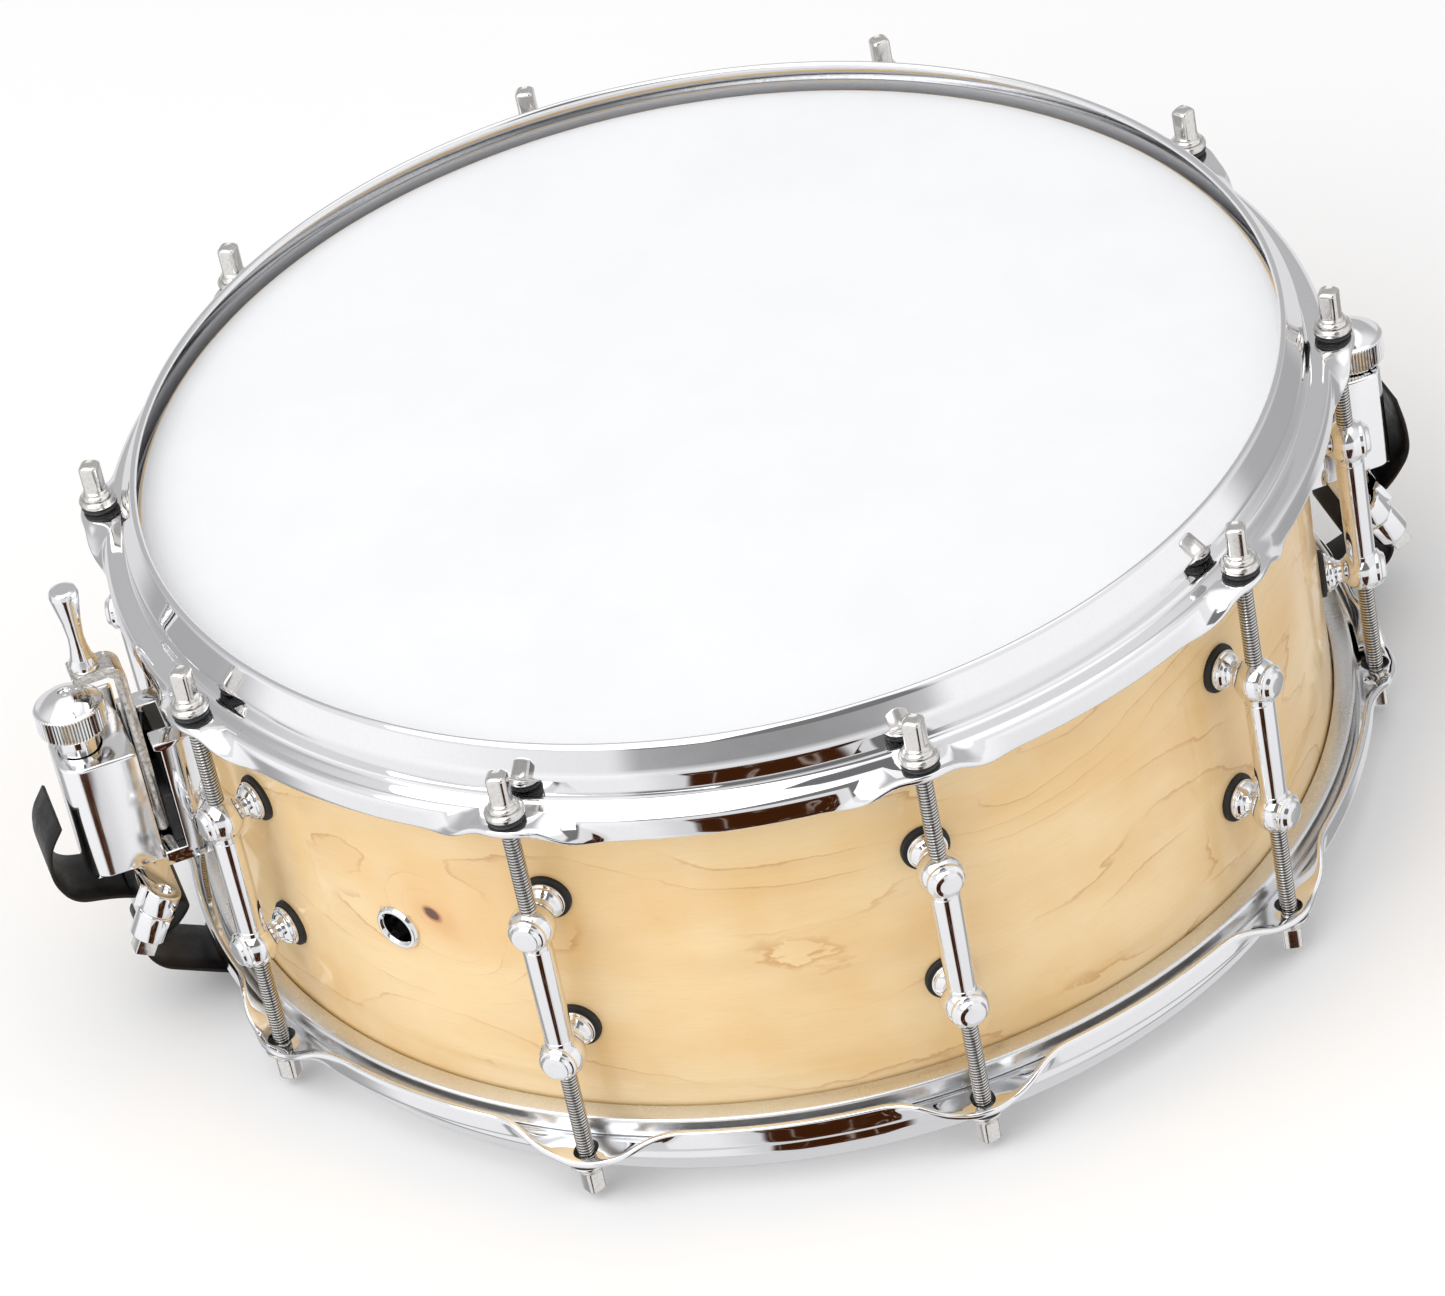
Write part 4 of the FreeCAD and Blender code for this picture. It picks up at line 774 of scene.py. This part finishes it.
def make_washers():
    """On each rod a nylon washer against the ear and a steel one under the collar."""
    nylon, steel = bmesh.new(), bmesh.new()
    bore = 2.9
    batter_nylon = [(bore, 145.2), (4.7, 145.2, 0.3), (5.35, 145.75, 0.3), (5.75, 146.5, 0.3), (5.75, 147.05, 0.1),
                    (5.55, 147.15, 0.05), (5.55, 147.3, 0.05), (5.75, 147.4, 0.1), (5.75, 147.7, 0.1), (bore, 147.7)]
    batter_steel = [(bore, 147.7), (5.9, 147.7, 0.15), (6.0, 148.75, 0.4), (5.75, 149.0, 0.15), (5.8, 149.15, 0.15),
                    (5.4, 149.6, 0.4), (4.7, 149.74, 0.2), (bore, 149.74)]
    snare_nylon = [(bore, 16.5), (5.75, 16.5, 0.2), (5.75, 15.5, 0.2), (bore, 15.5)]
    snare_steel = [(bore, 15.5), (5.95, 15.5, 0.3), (5.9, 14.6, 0.5), (5.0, 14.05, 0.5), (bore, 14.0)]
    for angle in LUG_ANGLES:
        for bm, profile, steps in ((nylon, batter_nylon, 4), (steel, batter_steel, 5),
                                   (nylon, snare_nylon, 4), (steel, snare_steel, 4)):
            lathe(bm, soften(profile, 0.1, steps), 40, standing(angle, ROD_R), closed=True)
    piece("rod_washers_nylon", nylon, NYLON, ["rod_nylon_washers"])
    piece("rod_washers_steel", steel, NICKEL, ["rod_steel_washers"])


make_shell()
make_heads()
make_hoops()
make_lugs()
make_vent()
make_rods()
make_washers()

# ---- strainer and butt end ---------------------------------------------------------------------
STRAINER = Matrix.Rotation(math.pi, 4, "Z")
BUTT = Matrix()


def polished(node, width, material, bore=None):
    """A CAD part with its sharp outer edges rounded over; the edges of a bore (x, y, radius) stay as they are."""
    sharp_from = math.radians(35)
    bm = bmesh.new()
    bm.from_mesh(nodes[node].data)
    bmesh.ops.remove_doubles(bm, verts=bm.verts, dist=2e-6)
    bmesh.ops.scale(bm, vec=(1 / MM,) * 3, verts=bm.verts)
    bmesh.ops.dissolve_limit(bm, angle_limit=math.radians(0.6), verts=bm.verts, edges=bm.edges)
    # a face with a hole in it can't be bevelled as one polygon
    bmesh.ops.triangulate(bm, faces=bm.faces)
    bmesh.ops.recalc_face_normals(bm, faces=bm.faces)
    sharp = [e for e in bm.edges if len(e.link_faces) == 2 and e.is_convex and e.calc_face_angle(0.0) > sharp_from]
    if bore:
        x, y, radius = bore
        sharp = [e for e in sharp if max(math.hypot(v.co.x - x, v.co.y - y) for v in e.verts) > radius]
    if sharp:
        bmesh.ops.bevel(bm, geom=sharp, offset=width, offset_type="OFFSET", segments=3, profile=0.5,
                        affect="EDGES", clamp_overlap=False, loop_slide=True)
    piece(node + "_finished", bm, material, [node], angle=28)


def make_knob(node, side, x, low, high, top, stem_from=None, recess=False):
    """A fluted band from low to high and a smooth dome up to top, with or without a turned stem that starts at
    stem_from and a small recess at the crown."""
    wide = 10.9
    rim = wide - 0.95
    centre = side @ Matrix.Translation((x, 0, 0))
    bm = bmesh.new()
    if stem_from is not None:
        stem = [(0, stem_from), (6.3, stem_from, 0.2), (6.6, stem_from + 0.6, 0.2), (6.6, low + 1.0), (0, low + 1.0)]
        lathe(bm, soften(stem, 0.2, closed=False), 64, centre)

    def fluted(size, depth):
        return lambda t: size - depth * (0.5 + 0.5 * math.cos(64 * t)) ** 0.8

    # height, radius and depth of the flutes
    bands = [(low, wide - 1.2, 0), (low + 0.15, wide - 0.6, 0), (low + 0.5, wide - 0.25, 0.2), (low + 0.9, wide, 0.5),
             (high - 0.7, wide, 0.5), (high - 0.3, wide - 0.15, 0.2), (high - 0.05, wide - 0.4, 0),
             (high + 0.12, wide - 0.75, 0), (high + 0.14, rim, 0)]
    rise = top - high - 0.14
    crown = 2.3 if recess else 0.6
    for k in range(1, 15):
        t = k / 14
        size = rim * (1 - t) + crown * t
        bands.append((high + 0.14 + rise * (1 - (size / rim) ** 2.3) / (1 - (crown / rim) ** 2.3), size, 0))
    if recess:
        bands += [(top - 0.1, 2.1, 0), (top - 0.75, 1.95, 0), (top - 0.8, 1.6, 0), (top - 0.55, 1.0, 0),
                  (top - 0.5, 0.4, 0)]
    crests = {z: size for z, size, depth in bands}
    # the flutes' depth below their crests becomes painted shade in the chrome's colour
    polar(bm, [(z, fluted(size, depth)) for z, size, depth in bands], 384, centre, crests.get, 0.7)
    piece(node + "_fluted", bm, CHROME, [node], angle=40)


def make_adjust_screws():
    for node, side, x, low, high in (("strainer_adjust_screw", STRAINER, STRAINER_KNOB_X, 74, 96.2),
                                     ("butt_adjust_screw", BUTT, BUTT_KNOB_X, 66, 91.8)):
        bm = bmesh.new()
        thread(bm, 3.0, 0.4, 1.0, low, high, side @ Matrix.Translation((x, 0, 0)), 20)
        piece(node + "_threaded", bm, NICKEL, [node], angle=50)


def make_lever():
    """A flat bar bent outwards at the top and the turned grip on its foot; the pin that it swings on is finished with
    the other CAD parts.
    """
    outline = soften([(193.0, 67.2, 1.0), (196.2, 67.2, 1.0), (196.2, 128.4, 2.0), (209.0, 128.4, 0.3),
                      (209.0, 131.6, 0.3), (193.0, 131.6, 5.0)], 0.3, 8)
    bm = bmesh.new()
    sides = [[bm.verts.new(STRAINER @ Vector((p.x, y, p.y))) for p in outline] for y in (-5.0, 5.0)]
    for k in range(len(outline)):
        m = (k + 1) % len(outline)
        bm.faces.new((sides[0][k], sides[0][m], sides[1][m], sides[1][k]))
    faces = [bm.faces.new(sides[0]), bm.faces.new(list(reversed(sides[1])))]
    rims = [e for f in faces for e in f.edges]
    bmesh.ops.bevel(bm, geom=rims, offset=0.45, offset_type="OFFSET", segments=3, profile=0.5,
                    affect="EDGES", clamp_overlap=False)
    piece("strainer_lever_bar", bm, WORN, ["strainer_lever"], angle=35)
    bm = bmesh.new()
    grip = [(0, 131.6), (4.3, 131.6, 0.3), (4.6, 132.4, 0.3), (4.6, 133.6, 0.5), (3.5, 135.6, 0.8), (2.75, 139.6, 3.0),
            (2.5, 143.0, 4.0), (3.0, 149.0, 6.0), (4.25, 156.2, 4.0), (4.6, 158.8, 1.4), (4.2, 160.6, 0.8),
            (3.0, 161.0, 0.4), (0, 161.0)]
    lathe(bm, soften(grip, 0.3, 5, closed=False), 56, STRAINER @ Matrix.Translation((204, 0, 0)))
    piece("strainer_lever_grip_turned", bm, CHROME, ["strainer_lever_grip"], angle=45)


def strap_path(seam, bulge, tail):
    """The strap's run in its fitting's upright plane: under the hoop, a slack fold, the clamp's jaws and a free end."""
    lean = math.radians(30)
    across = Vector((math.cos(lean), math.sin(lean)))
    points = [Vector((172.3, 9.4)), Vector((184.0, 10.0))] + [seam + Vector(p) for p in bulge]
    points += [seam - across * 12.3, seam + across * 9.0] + [seam + Vector(p) for p in tail]
    out = []
    for i, here in enumerate(points):
        if i in (0, len(points) - 1):
            out.append(here)
            continue
        before, after = points[i - 1] - here, points[i + 1] - here
        reach = 0.45 * min(before.length, after.length)
        a, b = here + before.normalized() * reach, here + after.normalized() * reach
        out += [a * (1 - t) ** 2 + here * (2 * t * (1 - t)) + b * t * t for t in (k / 6 for k in range(7))]
    return out


def make_strap(node, side, seam, bulge, tail, holder, clamp):
    """A plastic strip 25 mm wide and 1.2 mm thick, with rounded edges. seam is the middle of the clamp's jaws."""
    upper = [(-12.4, 0.38), (-12.0, 0.58), (-6.0, 0.6), (0, 0.6), (6.0, 0.6), (12.0, 0.58), (12.4, 0.38)]
    lower = [(y, -t) for y, t in reversed(upper)]
    section = [(-STRAP_HALF_WIDTH, 0)] + upper + [(STRAP_HALF_WIDTH, 0)] + lower
    run = strap_path(Vector(seam), bulge, tail)
    bm = bmesh.new()
    rings = []
    for i, here in enumerate(run):
        a, b = run[max(0, i - 1)], run[min(len(run) - 1, i + 1)]
        along = (b - a).normalized()
        normal = Vector((-along.y, along.x))
        ring = []
        for y, t in section:
            spot = here + normal * t
            ring.append(bm.verts.new(side @ Vector((spot.x, y, spot.y))))
        rings.append(ring)
    ring_grid(bm, rings, False)
    bm.faces.new(list(reversed(rings[0])))
    bm.faces.new(rings[-1])
    # the strip stays where it is made, tied to no body
    piece(node + "_strip", bm, STRAP, [node], angle=50, bend=(holder, clamp, (0, 0, 12 * MM), (0, 0, 32 * MM)))


def make_snares():
    """Twenty coiled wires, and the two plates that they are soldered to."""
    bm = bmesh.new()
    strands, spacing, length, height = 20, 2.25, 310, 9.4
    pitch, wire, coil, sides = 3.1, 0.24, 0.68, 8
    turns = int(length / pitch)
    for strand in range(strands):
        y = (strand - (strands - 1) / 2) * spacing
        rings = []
        for k in range(turns * sides + 1):
            t = 2 * math.pi * k / sides
            x = -length / 2 + length * k / (turns * sides)
            out = Vector((0, math.cos(t), math.sin(t)))
            rings.append([bm.verts.new(Vector((x, y, height)) + out * (coil + wire * a) + Vector((wire * b, 0, 0)))
                          for a, b in ((1, 0), (0, 1), (-1, 0), (0, -1))])
        ring_grid(bm, rings, False)
    piece("snare_wires_coiled", bm, STEEL, ["snare_wires"], angle=80)
    polished("snare_end_plates", 0.3, STEEL)


make_knob("strainer_knob", STRAINER, STRAINER_KNOB_X, 112.0, 120.5, 125.0, stem_from=96.2, recess=True)
make_knob("butt_knob", BUTT, BUTT_KNOB_X, 91.85, 100.35, 104.85)
make_adjust_screws()
make_lever()
for node, width, material in (
        ("strainer_base", 0.5, CHROME), ("strainer_housing", 1.1, SATIN), ("strainer_clamp", 0.6, CHROME),
        ("strainer_clamp_bar", 0.6, CHROME), ("strainer_clamp_screws", 0.35, NICKEL), ("strainer_track", 0.5, NYLON),
        ("strainer_carriage", 0.4, NICKEL), ("lever_pivot_pin", 0.3, NICKEL), ("butt_base", 0.5, CHROME),
        ("butt_housing", 1.1, SATIN), ("butt_clamp", 0.6, CHROME), ("butt_clamp_bar", 0.6, CHROME),
        ("butt_clamp_screws", 0.35, NICKEL), ("lug_screws", 0.25, NICKEL), ("lug_screw_washers", 0.2, NICKEL),
        ("fitting_screws", 0.25, NICKEL)):
    # the stem turns in the strainer housing's bore, so its edges stay sharp
    polished(node, width, material, (-STRAINER_KNOB_X, 0, 7.4) if node == "strainer_housing" else None)
fold = [(7.3, -18.9), (-1.2, -14.9), (-6.2, -11.4)]
make_strap("strainer_strap", STRAINER, (204.175, 48.893), [(3.3, -26.9)] + fold,
           [(23.5, 8), (28, 18), (26.5, 29), (21.3, 36.2)], "strainer_slide", "strainer_strap_clamp")
make_strap("butt_strap", BUTT, (202.175, 42.893), [(4, -25)] + fold,
           [(15.8, 14.5), (15.6, 25), (13.3, 36)], "drum", "butt_strap_clamp")
make_snares()

# the CAD parts that the pieces stand for get plain materials of their own
for name, cad_node in nodes.items():
    cad_node.data.materials.clear()
    cad_node.data.materials.append(FINISH[SLOT_OF[name]])
